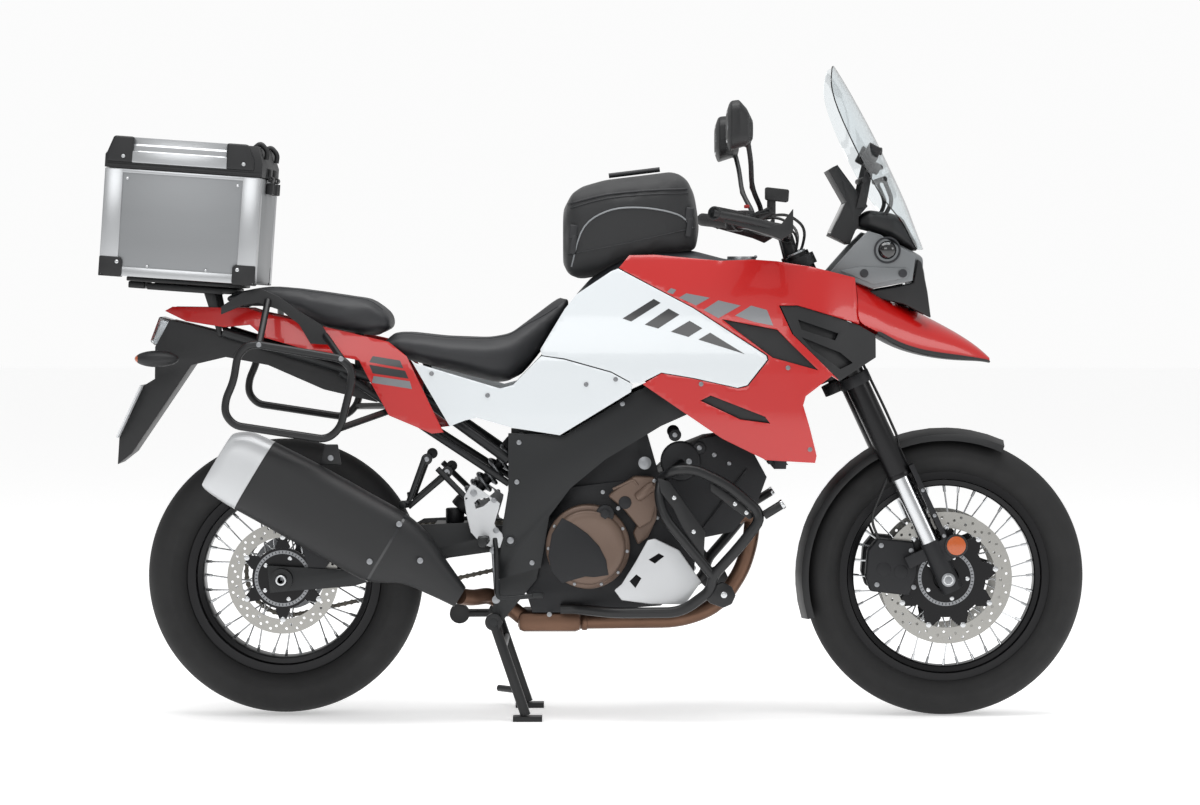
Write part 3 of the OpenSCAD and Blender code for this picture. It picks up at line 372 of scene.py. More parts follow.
def mirrored(piece):
    return modify(piece, "MIRROR", use_axis=(False, True, False), use_clip=False, use_mirror_merge=False)


def turned(piece, angle, centre):
    """Turns a finished mesh about the wheel axis through centre (x, z)."""
    x, z = centre[0] * MM, centre[1] * MM
    piece.data.transform(Matrix.Translation((x, 0, z)) @ Matrix.Rotation(math.radians(angle), 4,
        "Y") @ Matrix.Translation((-x, 0, -z)))
    return piece


def duplicate(piece):
    twin = piece.copy()
    twin.data = piece.data.copy()
    bpy.context.scene.collection.objects.link(twin)
    return twin


def screw(at, radius=5, height=3, side=-1, socket=True):
    """A button-head screw on a face that looks along y."""
    x, y, z = at
    head = across(x, z, radius, min(y, y + side * height), max(y, y + side * height), 20, height * 0.3)
    if not socket:
        return [head]
    dimple = across(x, z, radius * 0.5, min(y, y + side * (height + 0.1)),
        max(y, y + side * (height + 0.1)), 6)
    return [head, dimple]


print("helpers ready")

# %% [markdown]
# ## Wheels
# A tyre is a closed outline spun around the axle; its tread grooves are faces pushed in. The rim, hub and
# brake discs are spun too. Spokes are laced in crossed pairs from the hub flanges, each into a nipple.

# %% Tyres
FRONT = (820, 330)
REAR = (-735, 330)


def power(value, exponent):
    return math.copysign(abs(value) ** exponent, value)


def tyre(name, body, slot, node, centre, radius, bead, width, shoulder, groove_span):
    middle, deep = (radius + bead) / 2, (radius - bead) / 2
    outer = [(middle + deep * math.cos(math.radians(a)), width / 2 * power(math.sin(math.radians(a)), 0.85))
        for a in [-140 + 7 * i for i in range(41)]]
    # A low raised ring on each sidewall, just below the shoulder
    outer = [(r, y + math.copysign(1.2, y)) if 84 < abs(a) < 100 else (r, y)
        for (r, y), a in zip(outer, [-140 + 7 * i for i in range(41)])]
    inner = [(middle + (r - middle) * 0.82, y * 0.82) for r, y in reversed(outer)]
    piece = spun(outer + inner, centre, 160)
    x, z = centre[0] * MM, centre[1] * MM
    mesh = piece.data
    for vertex in mesh.vertices:
        dx, dz = vertex.co.x - x, vertex.co.z - z
        far = math.hypot(dx, dz)
        angle = math.atan2(dx, dz) + abs(vertex.co.y) / MM * 0.0016
        vertex.co.x, vertex.co.z = x + far * math.sin(angle), z + far * math.cos(angle)
    for polygon in mesh.polygons:
        c = polygon.center
        far = math.hypot(c.x - x, c.z - z) / MM
        step = int((math.atan2(c.x - x, c.z - z) - abs(c.y) / MM * 0.0016) / math.tau * 160 + 400.5)
        band = int(abs(c.y) / MM / groove_span)
        polygon.select = far > radius - shoulder and polygon.normal.dot(Vector((c.x - x, 0,
            c.z - z))) > 0 and (
            (band in (1, 2) and step % 8 == 0) or (band in (3, 4, 5, 6) and step % 8 == 4))
    bpy.context.view_layer.objects.active = piece
    bpy.ops.object.mode_set(mode="EDIT")
    bpy.ops.mesh.select_mode(type="FACE")
    bpy.ops.mesh.extrude_region_shrink_fatten(TRANSFORM_OT_shrink_fatten={"value": -0.0035})
    bpy.ops.object.mode_set(mode="OBJECT")
    return ride(settle(piece, name, rubber_tyre, 32), body, slot, node)


tyre("front_tyre_tread", "front_wheel", "tyre", "front_tyre", FRONT, 330, 236.5, 110, 26, 9)
tyre("rear_tyre_tread", "rear_wheel", "tyre", "rear_tyre", REAR, 324, 215, 150, 30, 12)
print("tyres made")

# %% Rims, hubs and spokes
def wheel(name, body, centre, bead, width, hub_half, flange, bore, rim_node, hub_node):
    lip = bead + 14
    inner = [(bead - 18, -width * 0.3), (bead - 4, -width * 0.36), (bead - 2, -width / 2 + 4),
        (lip - 1, -width / 2),
        (lip, -width / 2 - 1.5), (lip - 1, -width / 2 - 3), (bead - 2, -width / 2 - 2.4),
        (bead - 6, -width / 2 - 3),
        (bead - 9, -width * 0.38), (bead - 20, -width * 0.34), (bead - 23, -width * 0.28)]
    outline = inner + [(r, -y) for r, y in reversed(inner)]
    rim = settle(spun(outline, centre, 128), name + "_rim", anodised_black, 30)
    ride(rim, body, "rim_black", rim_node)
    half = hub_half
    shell = [(bore, -half), (28, -half), (30, -half + 2), (30, -half + 10), (flange - 2, -half + 10),
        (flange, -half + 11.5),
        (flange, -half + 16.5), (flange - 2, -half + 18), (33, -half + 20), (26, -half + 32)]
    hub = spun(shell + [(r, -y) for r, y in reversed(shell)], centre, 72)
    ride(settle(hub, name + "_hub", anodised_black, 30), body, "spoke_steel", hub_node)
    spokes = []
    for i in range(36):
        side, lead = (i % 2) * 2 - 1, (i // 2 % 2) * 2 - 1
        a, b = math.radians(10 * i - lead * 28), math.radians(10 * i)
        y0, y1 = side * (hub_half - 14), side * 12
        near = Vector((centre[0] + (flange - 5) * math.sin(a), y0, centre[1] + (flange - 5) * math.cos(a)))
        far = Vector((centre[0] + (bead - 22) * math.sin(b), y1, centre[1] + (bead - 22) * math.cos(b)))
        line = (far - near).normalized()
        spokes += [rod(near - line * 6, far, 1.9, 8), rod(far - line * 16, far + line * 2, 3.3, 8, 3.6),
            rod(near - line * 8, near - line * 3, 3.4, 8)]
    ride(joined(spokes, name + "_spokes", steel_bright), body, "spoke_steel")


wheel("front_wheel", "front_wheel", FRONT, 236, 62, 58, 52, 12.8, "front_rim", "front_hub")
wheel("rear_wheel", "rear_wheel", REAR, 214, 106, 68, 58, 12.8, "rear_rim", "rear_hub")
print("wheels laced")

# %% [markdown]
# ## Brake discs
# Each disc is a ground steel ring drilled in a repeating pattern and held by round buttons to a black
# carrier. Inside it sits a thin toothed ring that the speed sensor reads.

# %% Brake discs
def drill(piece, cutters):
    tool = joined(cutters, "drill")
    activate(piece)
    modifier = piece.modifiers.new("drill", "BOOLEAN")
    modifier.object, modifier.operation, modifier.solver = tool, "DIFFERENCE", "EXACT"
    bpy.ops.object.modifier_apply(modifier=modifier.name)
    bpy.data.objects.remove(tool)
    return piece


def polar(centre, radius, degrees, y):
    a = math.radians(degrees)
    return (centre[0] + radius * math.sin(a), y, centre[1] + radius * math.cos(a))


def brake_disc(name, body, centre, y, radius, inner, buttons, side):
    ring = spun([(inner, y - 2.5), (inner, y + 2.5), (radius, y + 2.5), (radius, y - 2.5)], centre, 96)
    holes = []
    for i in range(12):
        for j, (r, a) in enumerate([(0.28, 0), (0.5, 6), (0.74, 12), (0.4, 18), (0.66, 24)]):
            spot = polar(centre, inner + (radius - inner) * r, 30 * i + a + 2, y)
            holes.append(rod((spot[0], y - 6, spot[2]), (spot[0], y + 6, spot[2]), 3.4, 10))
    drill(ring, holes)
    ring = settle(ring, name + "_ring", steel_disc, 30)
    arms = []
    for i in range(buttons):
        step = 360 / buttons
        points = [polar(centre, inner - 8, step * i - 7.5, 0), polar(centre, inner + 3, step * i - 4.2, 0),
            polar(centre, inner + 3, step * i + 4.2, 0), polar(centre, inner - 8, step * i + 7.5, 0),
            polar(centre, inner - 19, step * i + 13, 0), polar(centre, 40, step * i + 14, 0),
            polar(centre, 40, step * i - 14, 0),
            polar(centre, inner - 19, step * i - 13, 0)]
        arms.append(plate([(p[0], p[2]) for p in points], y - 2.2, y + 2.2, 0.8, 1))
    arms.append(spun([(30.3, y - 2.6), (30.3, y + 2.6), (inner - 24, y + 2.6), (inner - 24, y - 2.6)],
        centre, 72))
    arms.append(spun([(30.4, y - side * 2), (30.4, y - side * 18), (42, y - side * 18), (42, y - side * 2)],
        centre, 48))
    carrier = joined(arms, name + "_carrier", anodised_black, 30)
    studs = []
    for i in range(buttons):
        spot = polar(centre, inner + 1, 360 / buttons * i, y)
        studs += [across(spot[0], spot[2], 6.5, y - 3.8, y + 3.8, 20, 0.8),
            across(spot[0], spot[2], 2.6, y - 4.6, y + 4.6, 12)]
    for i in range(5):
        spot = polar(centre, 50, 72 * i + 20, y)
        studs += screw((spot[0], y, spot[2]), 5.5, 6.4, side)
    studs = joined(studs, name + "_buttons", steel_bright, 30)
    teeth = spun([(58, y + side * 3), (58, y + side * 4.6), (66, y + side * 4.6), (66, y + side * 3)],
        centre, 72)
    slots = [turned(block((centre[0], y + side * 3.8, centre[1] + 62), (1.9, 6, 5.4), (0, 0, 0), 0.2),
        7.5 * i, centre) for i in range(48)]
    teeth = settle(drill(teeth, slots), name + "_sensor_ring", steel_dull, 30)
    for piece, slot in ((ring, "disc_steel"), (carrier, "rim_black"), (studs, "spoke_steel"),
        (teeth, "disc_steel")):
        ride(piece, body, slot)
    return ring


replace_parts(brake_disc("front_disc_right", "front_wheel", FRONT, -70, 155, 117, 9, -1), "front_discs")
brake_disc("front_disc_left", "front_wheel", FRONT, 70, 155, 117, 9, 1)
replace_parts(brake_disc("rear_disc", "rear_wheel", REAR, -86, 130, 96, 6, -1), "rear_disc")
print("discs drilled")

# %% [markdown]
# ## Bodywork
# The painted panels are thin mouldings. Each starts as a flat face cut to its outline, is cut into small
# squares with bisecting planes, is laid on a smooth surface over the frame and then gets its thickness.
# Neighbouring panels keep a narrow gap, as fitted panels do.

# %% The surfaces that panels lie on
COWL_W = [(-450, 150), (-300, 172), (-130, 184), (0, 198), (150, 216), (300, 242), (450, 257), (520, 246),
    (600, 206),
    (650, 182), (720, 140)]
TAIL_W = [(-1020, 62), (-950, 96), (-850, 118), (-700, 132), (-560, 136), (-430, 152), (-330, 170)]


def eased(x, table):
    """A smooth curve through a table of places and values."""
    x = min(max(x, table[0][0]), table[-1][0])
    i = max(j for j in range(len(table) - 1) if table[j][0] <= x)
    (x0, y0), (x1, y1) = table[i], table[i + 1]
    before, after = table[max(i - 1, 0)], table[min(i + 2, len(table) - 1)]
    m0 = (y1 - before[1]) / (x1 - before[0]) * (x1 - x0)
    m1 = (after[1] - y0) / (after[0] - x0) * (x1 - x0)
    t = (x - x0) / (x1 - x0)
    return (2 * t ** 3 - 3 * t ** 2 + 1) * y0 + (t ** 3 - 2 * t ** 2 +
        t) * m0 + (3 * t ** 2 - 2 * t ** 3) * y1 + (t ** 3 - t ** 2) * m1


def cowl_y(x, z):
    return eased(x, COWL_W) - 78 * (max(0, z - 830) / 270) ** 1.6 - 30 * (max(0, 720 - z) / 110) ** 1.5


def tail_y(x, z):
    return eased(x, TAIL_W) - 34 * (max(0, z - 800) / 170) ** 1.5


def gridded(piece, step):
    """Cuts a flat upright face into squares of about one step."""
    spots = [v.co for v in piece.data.vertices]
    activate(piece)
    bpy.ops.object.mode_set(mode="EDIT")
    for axis in (0, 2):
        low, high = min(s[axis] for s in spots), max(s[axis] for s in spots)
        normal = (1, 0, 0) if axis == 0 else (0, 0, 1)
        count = int((high - low) / (step * MM))
        for i in range(1, count + 1):
            at = low + (high - low) * i / (count + 1)
            bpy.ops.mesh.select_all(action="SELECT")
            bpy.ops.mesh.bisect(plane_co=(at if axis == 0 else 0, 0, at if axis == 2 else 0), plane_no=normal)
    bpy.ops.object.mode_set(mode="OBJECT")
    return piece


def panel(outline, surface, thickness=4, lift=0, step=14, windows=(), edge=1.0):
    """A moulded panel on the right side: outline in (x, z), laid on surface, less any windows."""
    piece = gridded(corners([(x, 0, z) for x, z in outline], "NGON"), step)
    for vertex in piece.data.vertices:
        x, z = vertex.co.x / MM, vertex.co.z / MM
        vertex.co.y = -(surface(x, z) + lift) * MM
    activate(piece)
    bpy.ops.object.mode_set(mode="EDIT")
    bpy.ops.mesh.select_all(action="SELECT")
    bpy.ops.mesh.normals_make_consistent(inside=False)
    bpy.ops.object.mode_set(mode="OBJECT")
    if sum(p.normal.y * p.area for p in piece.data.polygons) > 0:
        in_edit(piece, (bpy.ops.mesh.flip_normals, {}))
    modify(piece, "SOLIDIFY", thickness=thickness * MM, offset=-1)
    if windows:
        drill(piece, [plate(w, -400, 0, 0) for w in windows])
    if edge:
        modify(piece, "BEVEL", width=edge * MM, segments=2, limit_method="ANGLE",
            angle_limit=math.radians(50))
    return piece


# %% Side panels
RED = [(52, 1057), (76, 1086), (136, 1087), (286, 1073), (360, 1076), (415, 1072), (496, 1059), (598, 1034),
    (606, 928),
    (462, 971), (418, 971), (448, 905), (556, 799), (540, 809), (479, 763), (473, 742), (489, 689),
    (506, 625), (503, 608),
    (389, 615), (288, 665), (106, 789), (149, 814), (223, 802), (324, 780), (347, 786), (394, 846),
    (391, 857), (224, 965)]
WHITE = [(-126, 855), (-130, 868), (-74, 961), (-47, 995), (34, 1049), (50, 1055), (222, 964), (388, 856),
    (391, 847),
    (345, 788), (323, 782), (223, 804), (149, 816), (101, 791), (82, 792), (34, 818), (-74, 848)]
COVER = [(-430, 843), (-420, 836), (-223, 778), (-193, 786), (-134, 847), (-127, 853), (-74, 845),
    (34, 815), (82, 789),
    (79, 771), (-85, 670), (-196, 687), (-277, 710), (-304, 704), (-340, 690)]
VENT = [(421, 972), (462, 973), (604, 925), (645, 902), (645, 850), (559, 797), (451, 904)]
DARK = [(288, 939), (414, 915), (445, 883), (508, 822), (403, 851), (322, 912)]
DUCT = [(238, 752), (262, 764), (386, 716), (398, 700), (330, 709)]


def inset(outline, amount):
    """An outline drawn in towards its own middle by about amount."""
    mx, mz = sum(p[0] for p in outline) / len(outline), sum(p[1] for p in outline) / len(outline)
    far = sum(math.hypot(p[0] - mx, p[1] - mz) for p in outline) / len(outline)
    scale = 1 - amount / far
    return [(mx + (x - mx) * scale, mz + (z - mz) * scale) for x, z in outline]


red = mirrored(panel(RED, cowl_y, 5, windows=[DARK, DUCT], edge=1.4))
ride(settle(red, "shroud_red", paint_red, 40), "chassis", "gloss_red", "side_cowls")
white = mirrored(panel(WHITE, cowl_y, 5, edge=1.4))
ride(settle(white, "tank_side_white", paint_white, 40), "chassis", "gloss_white")
cover = mirrored(panel(COVER, cowl_y, 5, edge=1.4))
ride(settle(cover, "side_cover_white", paint_white, 40), "chassis", "gloss_white", "side_covers")
dark = [panel([(x, z) for x, z in inset(o, -6)], cowl_y, 3, -7, edge=0.6) for o in (DARK, DUCT)]
dark.append(panel(VENT, cowl_y, 5, -3, edge=1.0, windows=[[(462, 938), (556, 906), (548, 890), (470, 915)],
    [(470, 898), (560, 862), (590, 838), (560, 824), (492, 872)]]))
dark.append(panel(inset(VENT, 8), cowl_y, 3, -16, edge=0.6))
ride(settle(joined([mirrored(p) for p in dark], "vents"), "shroud_vents", moulded_black, 40), "chassis",
    "plastic_black", "cowl_vents")

BARS = [[(60, 940), (80, 933), (148, 976), (132, 985)], [(111, 926), (142, 917), (191, 949), (166, 963)],
    [(171, 910), (211, 898), (243, 918), (214, 935)], [(234, 892), (340, 859), (261, 908)]]
GREYS = [[(162, 1001), (172, 1010), (184, 1006), (176, 996)],
    [(190, 988), (207, 998), (261, 988), (229, 970)],
    [(246, 960), (280, 982), (331, 970), (280, 941)], [(318, 947), (355, 970), (391, 960), (405, 924),
    (364, 932)]]
bars = [mirrored(panel(b, cowl_y, 0.5, 0.35, 12, edge=0)) for b in BARS]
ride(settle(joined(bars, "bars"), "tank_side_bars", decal_black, 40), "chassis", "gloss_white")
greys = [mirrored(panel(b, cowl_y, 0.5, 0.35, 12, edge=0)) for b in GREYS]
ride(settle(joined(greys, "greys"), "shroud_stripes", decal_grey, 40), "chassis", "gloss_red")

studs = []
for x, z in ((-24, 788), (44, 800), (-382, 812), (-252, 762), (438, 828), (240, 790), (490, 640)):
    for side in (-1, 1):
        studs += screw((x, side * (cowl_y(x, z) - 0.5), z), 5.5, 2.6, side)
ride(joined(studs, "panel_screws", decal_grey), "chassis", "gloss_white")
print("side panels laid")

# %% Tail and beak
TAIL = [(-1015, 956), (-996, 966), (-815, 963), (-785, 953), (-631, 919), (-483, 885), (-441, 852),
    (-355, 676), (-382, 673),
    (-482, 714), (-528, 797), (-552, 842), (-608, 853), (-679, 868), (-773, 895), (-809, 925), (-868, 919),
    (-963, 933)]
tail = mirrored(panel(TAIL, tail_y, 4, edge=1.2))
ride(settle(tail, "tail_red", paint_red, 40), "chassis", "gloss_red_body", "tail_cowls")
tail_bars = [[(-520, 812), (-436, 800), (-444, 818), (-528, 832)],
    [(-528, 838), (-448, 824), (-456, 842), (-520, 852)]]
tail_greys = [[(-522, 790), (-428, 776), (-433, 794), (-518, 806)]]
for outlines, name, skin in ((tail_bars, "tail_bars_black", decal_black),
    (tail_greys, "tail_bar_grey", decal_grey)):
    stripes = [mirrored(panel(b, tail_y, 0.5, 0.35, 12, edge=0)) for b in outlines]
    ride(settle(joined(stripes, name), name, skin, 40), "chassis", "gloss_red_body")

BEAK = [(604, 1036, 928, 190), (650, 1010, 912, 168), (700, 984, 880, 142), (770, 947, 860, 108),
    (844, 909, 851, 70),
    (900, 872, 842, 38), (927, 846, 837, 14)]
RIBS = [(-1, 0), (-0.98, 0.3), (-0.86, 0.62), (-0.6, 0.86), (-0.28, 0.97), (0, 1), (0.28, 0.97),
    (0.6, 0.86), (0.86, 0.62),
    (0.98, 0.3), (1, 0)]


def skinned(rows, ribs):
    """A curved sheet over rows of (x, top, edge, half width): a grid whose corners are moved into place."""
    deselect()
    bpy.ops.mesh.primitive_grid_add(x_subdivisions=len(ribs) - 1, y_subdivisions=len(rows) - 1, size=1)
    piece = bpy.context.object
    for index, vertex in enumerate(piece.data.vertices):
        x, top, edge, half = rows[index // len(ribs)]
        across_at, up = ribs[index % len(ribs)]
        vertex.co = Vector((x, across_at * half, edge + (top - edge) * up)) * MM
    return in_edit(piece, (bpy.ops.mesh.normals_make_consistent, {"inside": False}))


beak = skinned(BEAK, RIBS)
if sum(p.normal.z * p.area for p in beak.data.polygons) < 0:
    in_edit(beak, (bpy.ops.mesh.flip_normals, {}))
modify(beak, "SUBSURF", levels=3, render_levels=3)
modify(beak, "SOLIDIFY", thickness=4 * MM, offset=-1)
ride(settle(beak, "beak_red", paint_red, 45), "chassis", "gloss_red", "beak")
lip = skinned([(x, edge + 3, edge - (7 if x < 900 else 1), half + 0.5) for x, top, edge, half in BEAK[1:]],
    [(-1, 1), (-1.0, 0), (-0.9, -0.3), (0, -0.5), (0.9, -0.3), (1.0, 0), (1, 1)])
modify(lip, "SUBSURF", levels=2, render_levels=2)
modify(lip, "SOLIDIFY", thickness=3 * MM, offset=0)
ride(settle(lip, "beak_lip", moulded_black, 45), "chassis", "plastic_black")
print("beak and tail made")

# %% Tank and nose cowl
tank = moulded_copy("fuel_tank", 5, 24)
ride(settle(tank, "tank_top", moulded_grey, 40), "chassis", "tank_black", "fuel_tank")
nose = moulded_copy("nose_fairing", 4, 26)
ride(settle(nose, "nose_cowl", moulded_black, 40), "chassis", "plastic_black", "nose_fairing")

# %% [markdown]
# ## Lamp, screen and instruments
# The lamp housing is a silver-grey moulding with a dark round projector in its side. The screen is one
# curved clear sheet, thin enough to show the machine through it.

# %% Clear and coloured plastics
def clear(name, tint, roughness=0.03, through=1.0, ior=1.49):
    material, tree, shader, where = new_material(name, tint, roughness, 0.0, transmission_weight=through,
        ior=ior)
    smudge = add_node(tree, "ShaderNodeTexNoise", None, {"Scale": 14.0, "Detail": 2.0}, {"Vector": where})
    gloss = add_node(tree, "ShaderNodeMapRange", None, {"To Min": roughness * 0.6,
        "To Max": roughness * 1.6}, {"Value": smudge.outputs[0]})
    tree.links.new(gloss.outputs[0], shader.inputs["Roughness"])
    return material


screen_clear = clear("clear_polycarbonate", "#e9eef0")
lens_clear = clear("clear_lamp_lens", "#eef1f2", 0.05)
lens_dark = finish("dark_projector_glass", "#0d0e10", 0.06, 0.0, 0.8, 0.01, 0.02, 0.02, 40, coat_weight=1.0,
    coat_roughness=0.03)
lens_amber = finish("amber_reflector", "#b4500c", 0.22, 0.0, 2.4, 0.3, 0.04, 0.08, 12, coat_weight=0.8,
    coat_roughness=0.05)
red_lens = finish("red_lamp_lens", "#7c0d0a", 0.14, 0.0, 3.0, 0.3, 0.03, 0.05, 20, coat_weight=1.0,
    coat_roughness=0.04)
mirror_glass = finish("silvered_mirror", "#c9ced2", 0.04, 1.0, 0.8, 0.0, 0.02, 0.02, 60)

# %% Windscreen
SCREEN = [(1100, 773, 752, 60), (1140, 757, 728, 106), (1165, 747, 712, 136), (1199, 735, 680, 162),
    (1230, 721, 655, 172),
    (1333, 674, 600, 174), (1457, 607, 545, 150), (1508, 576, 549, 116), (1528, 562, 554, 76)]
deselect()
bpy.ops.mesh.primitive_grid_add(x_subdivisions=16, y_subdivisions=len(SCREEN) - 1, size=1)
screen = bpy.context.object
for index, vertex in enumerate(screen.data.vertices):
    z, ridge, side, half = SCREEN[index // 17]
    t = (index % 17) / 8 - 1
    vertex.co = Vector((ridge - (ridge - side) * t * t - 4, half * t, z)) * MM
in_edit(screen, (bpy.ops.mesh.normals_make_consistent, {"inside": False}))
modify(screen, "SUBSURF", levels=2, render_levels=2)
modify(screen, "SOLIDIFY", thickness=3.2 * MM, offset=0)
ride(settle(screen, "windscreen_sheet", screen_clear, 50), "chassis", "screen", "windscreen")
stays = []
for side in (-1, 1):
    stays += [tube([(655, side * 88, 1150), (690, side * 92, 1210), (668, side * 96, 1262)], 5, 20),
        rod((640, side * 84, 1330), (664, side * 92, 1328), 9),
        rod((668, side * 60, 1262), (668, side * 120, 1262), 7),
        block((640, side * 96, 1322), (34, 16, 44), (0, 28, 0), 4),
        block((648, side * 96, 1288), (22, 20, 26), (0, 28, 0), 4)]
    stays += [across(x, z, 6, side * 100 - 5, side * 100 + 5, 16, 1) for x, z in ((652, 1322), (660, 1290))]
stays.append(tube([(664, -118, 1262), (664, 118, 1262)], 6))
ride(joined(stays, "screen_stays", moulded_black, 40), "chassis", "plastic_black")

# %% Lamp housing and instruments
shell = moulded_copy("headlight", 4, 12)
ride(settle(shell, "lamp_shell", lamp_shell, 40), "chassis", "lamp_housing", "headlight")
SIDE_LAMP = [(542, 1046), (600, 1112), (632, 1143), (660, 1134), (742, 1085), (735, 1026), (640, 1008)]
cheek = [plate(SIDE_LAMP, s * 112 - 5, s * 112 + 5, 3, 3) for s in (-1, 1)]
cheek += [plate([(566, 1050), (612, 1060), (722, 1056), (728, 1050), (722, 1034), (644, 1018)], s * 118 - 3,
    s * 118 + 3, 1.6, 2) for s in (-1, 1)]
ride(joined(cheek, "lamp_cheeks", lamp_shell, 40), "chassis", "lamp_housing")
eyes = []
for s in (-1, 1):
    deselect()
    bpy.ops.mesh.primitive_uv_sphere_add(segments=40, ring_count=20, radius=25 * MM,
        location=(0.676, s * 0.104, 1.098))
    eyes.append(bpy.context.object)
ride(joined(eyes, "projector_eyes", lens_dark), "chassis", "lens")
rings = [spun([(25, s * 114), (28, s * 120), (31, s * 120), (32, s * 112), (25, s * 110)], (676, 1098), 48)
    for s in (-1, 1)]
lamp_screws = []
for s in (-1, 1):
    for x, z in ((622, 1044), (712, 1044)):
        lamp_screws += screw((x, s * 121, z), 10, 3, s)
ride(joined(rings + lamp_screws, "lamp_trim", moulded_grey, 40), "chassis", "lamp_housing")
CHIN = [(636, 1003), (700, 1014), (738, 1022), (748, 1078), (758, 1070), (772, 1000), (780, 940),
    (716, 972), (650, 986)]
chin = [plate(CHIN, s * 88 - 12, s * 88 + 12, 4, 3) for s in (-1, 1)]
chin.append(block((748, 0, 985), (26, 150, 60), (0, -12, 0), 8))
ride(joined(chin, "lamp_chin", moulded_black, 40), "chassis", "plastic_black")
deselect()
bpy.ops.mesh.primitive_uv_sphere_add(segments=48, ring_count=24, radius=1, location=(0.748, 0, 1.03),
    scale=(0.026, 0.066, 0.05))
ride(settle(bpy.context.object, "front_lens", lens_clear), "chassis", "lens")
ride(settle(rounded_copy("instruments", 4, 3), "instrument_case", moulded_black, 40), "chassis",
    "plastic_black", "instruments")
face = plate([(553, 1136), (548, 1140), (581, 1208), (586, 1206)], -70, 70, 1)
ride(settle(face, "instrument_glass", lens_dark), "chassis", "lens")
print("front made")

# %% [markdown]
# ## Luggage
# The top box is riveted sheet held in extruded corner posts, with moulded corner guards and a moulded lid
# that carries two silver rails. It sits tilted on its rack, so it is built square and then turned.

# %% Top box
def on_box(piece):
    piece.data.transform(Matrix.Translation((-0.787, 0, 1.016)) @ Matrix.Rotation(math.radians(4), 4, "Y"))
    return piece


L, W, H = 362, 200, 248
walls = [block((-L / 2, s * (W - 4), H / 2 + 2), (L - 6, 3, H - 6), (0, 0, 0), 1) for s in (-1, 1)]
walls += [block((x, 0, H / 2 + 2), (3, 2 * W - 8, H - 6), (0, 0, 0), 1) for x in (-L + 4, -3)]
walls.append(block((-L / 2, 0, 3), (L - 6, 2 * W - 8, 4), (0, 0, 0), 1))
ride(on_box(settle(joined(walls, "walls"), "box_sheets", alloy_brushed, 40)), "chassis", "box_aluminium",
    "top_box")
posts = []
for s in (-1, 1):
    for x in (-L + 23, -23):
        posts.append(block((x, s * (W - 2.4), H / 2), (42, 4, H - 2), (0, 0, 0), 1.8))
    for x in (-L + 3.2, -2.4):
        posts.append(block((x, s * (W - 22), H / 2), (4, 42, H - 2), (0, 0, 0), 1.8))
    posts.append(block((-L / 2, s * (W - 2.4), 12), (L - 6, 3.6, 22), (0, 0, 0), 1.6))
    posts.append(block((-L / 2, s * (W - 2.2), H - 5), (L - 6, 3.4, 9), (0, 0, 0), 1.4))
ride(on_box(settle(joined(posts, "posts"), "box_posts", alloy_edge, 40)), "chassis", "box_aluminium")
guards, rivets = [], []
for s in (-1, 1):
    for x, way in ((-L, 1), (0, -1)):
        outline = [(x + way * 1, 44), (x + way * 1, 6), (x + way * 16, -1), (x + way * 52, -1),
            (x + way * 54, 4), (x + way * 54, 38),
            (x + way * 48, 44)]
        guards.append(plate(outline, min(s * (W - 3), s * (W + 3)), max(s * (W - 3), s * (W + 3)), 2, 2))
        guards.append(block((x + way * 2.8, s * (W - 24), 21), (4, 52, 44), (0, 0, 0), 1.8))
        guards.append(block((x + way * 26, s * (W - 20), 0.4), (50, 44, 4), (0, 0, 0), 1.5))
        rivets += screw((x + way * 42, s * (W + 3), 33), 4.5, 2, s)
        rivets += screw((x + way * 54, s * (W - 2), H - 22), 3.4, 1.6, s, False)
    for x in (-250, -115):
        rivets += screw((x, s * (W - 0.4), 27), 3, 1.4, s, False)
guards += [tube([(14, y, 214), (14, y, 240)], 5) for y in (-60, 60)]
guards += [block((8, y, 226), (16, 44, 26), (0, 0, 0), 3) for y in (-60, 60)]
ride(on_box(settle(joined(guards, "guards"), "box_corner_guards", moulded_black, 40)), "chassis",
    "plastic_black")
ride(on_box(settle(joined(rivets, "rivets"), "box_rivets", steel_bright, 40)), "chassis", "box_aluminium")
ride(settle(rounded_copy("top_box_lid", 4, 3), "lid_shell", moulded_black, 40), "box_lid", "lid_black",
    "top_box_lid")
lid_alloy, lid_black = [], []
for s in (-1, 1):
    rail = [(262, s * 201.4), (262, s * 194), (317, s * 180), (321, s * 184), (321, s * 190),
        (306, s * 192), (302, s * 197), (290, s * 200),
        (288, s * 203), (264, s * 203.4)]
    piece = corners([(-300, y, z) for z, y in rail], "NGON")
    in_edit(piece, (bpy.ops.mesh.extrude_region_move, {"TRANSFORM_OT_translate": {"value": (0.218, 0, 0)}}),
        (bpy.ops.mesh.select_all, {"action": "SELECT"}), (bpy.ops.mesh.normals_make_consistent,
        {"inside": False}))
    lid_alloy.append(modify(piece, "BEVEL", width=0.8 * MM, segments=2, limit_method="ANGLE",
        angle_limit=0.4))
    for x0, x1 in ((-L + 4, -298), (-84, -18)):
        shape = [(x0, 262), (x0, 284), (x0 + (14 if x0 < -200 else 0), 322),
            (x1 - (0 if x0 < -200 else 18), 322), (x1, 284), (x1, 262)]
        lid_black.append(plate(shape, min(s * 176, s * 204.5), max(s * 176, s * 204.5), 5, 3))
        for x in ((x0 + x1) / 2 + 8,):
            lid_alloy += screw((x, s * 205, 276), 4.5, 2, s)
    lid_black.append(tube([(-30, s * 120, 316), (-16, s * 120, 330), (2, s * 120, 312), (0, s * 120, 292)],
        6, 12))
lid_alloy.append(block((-L / 2 - 4, 0, 320.6), (270, 300, 3), (0, 0, 0), 1.2))
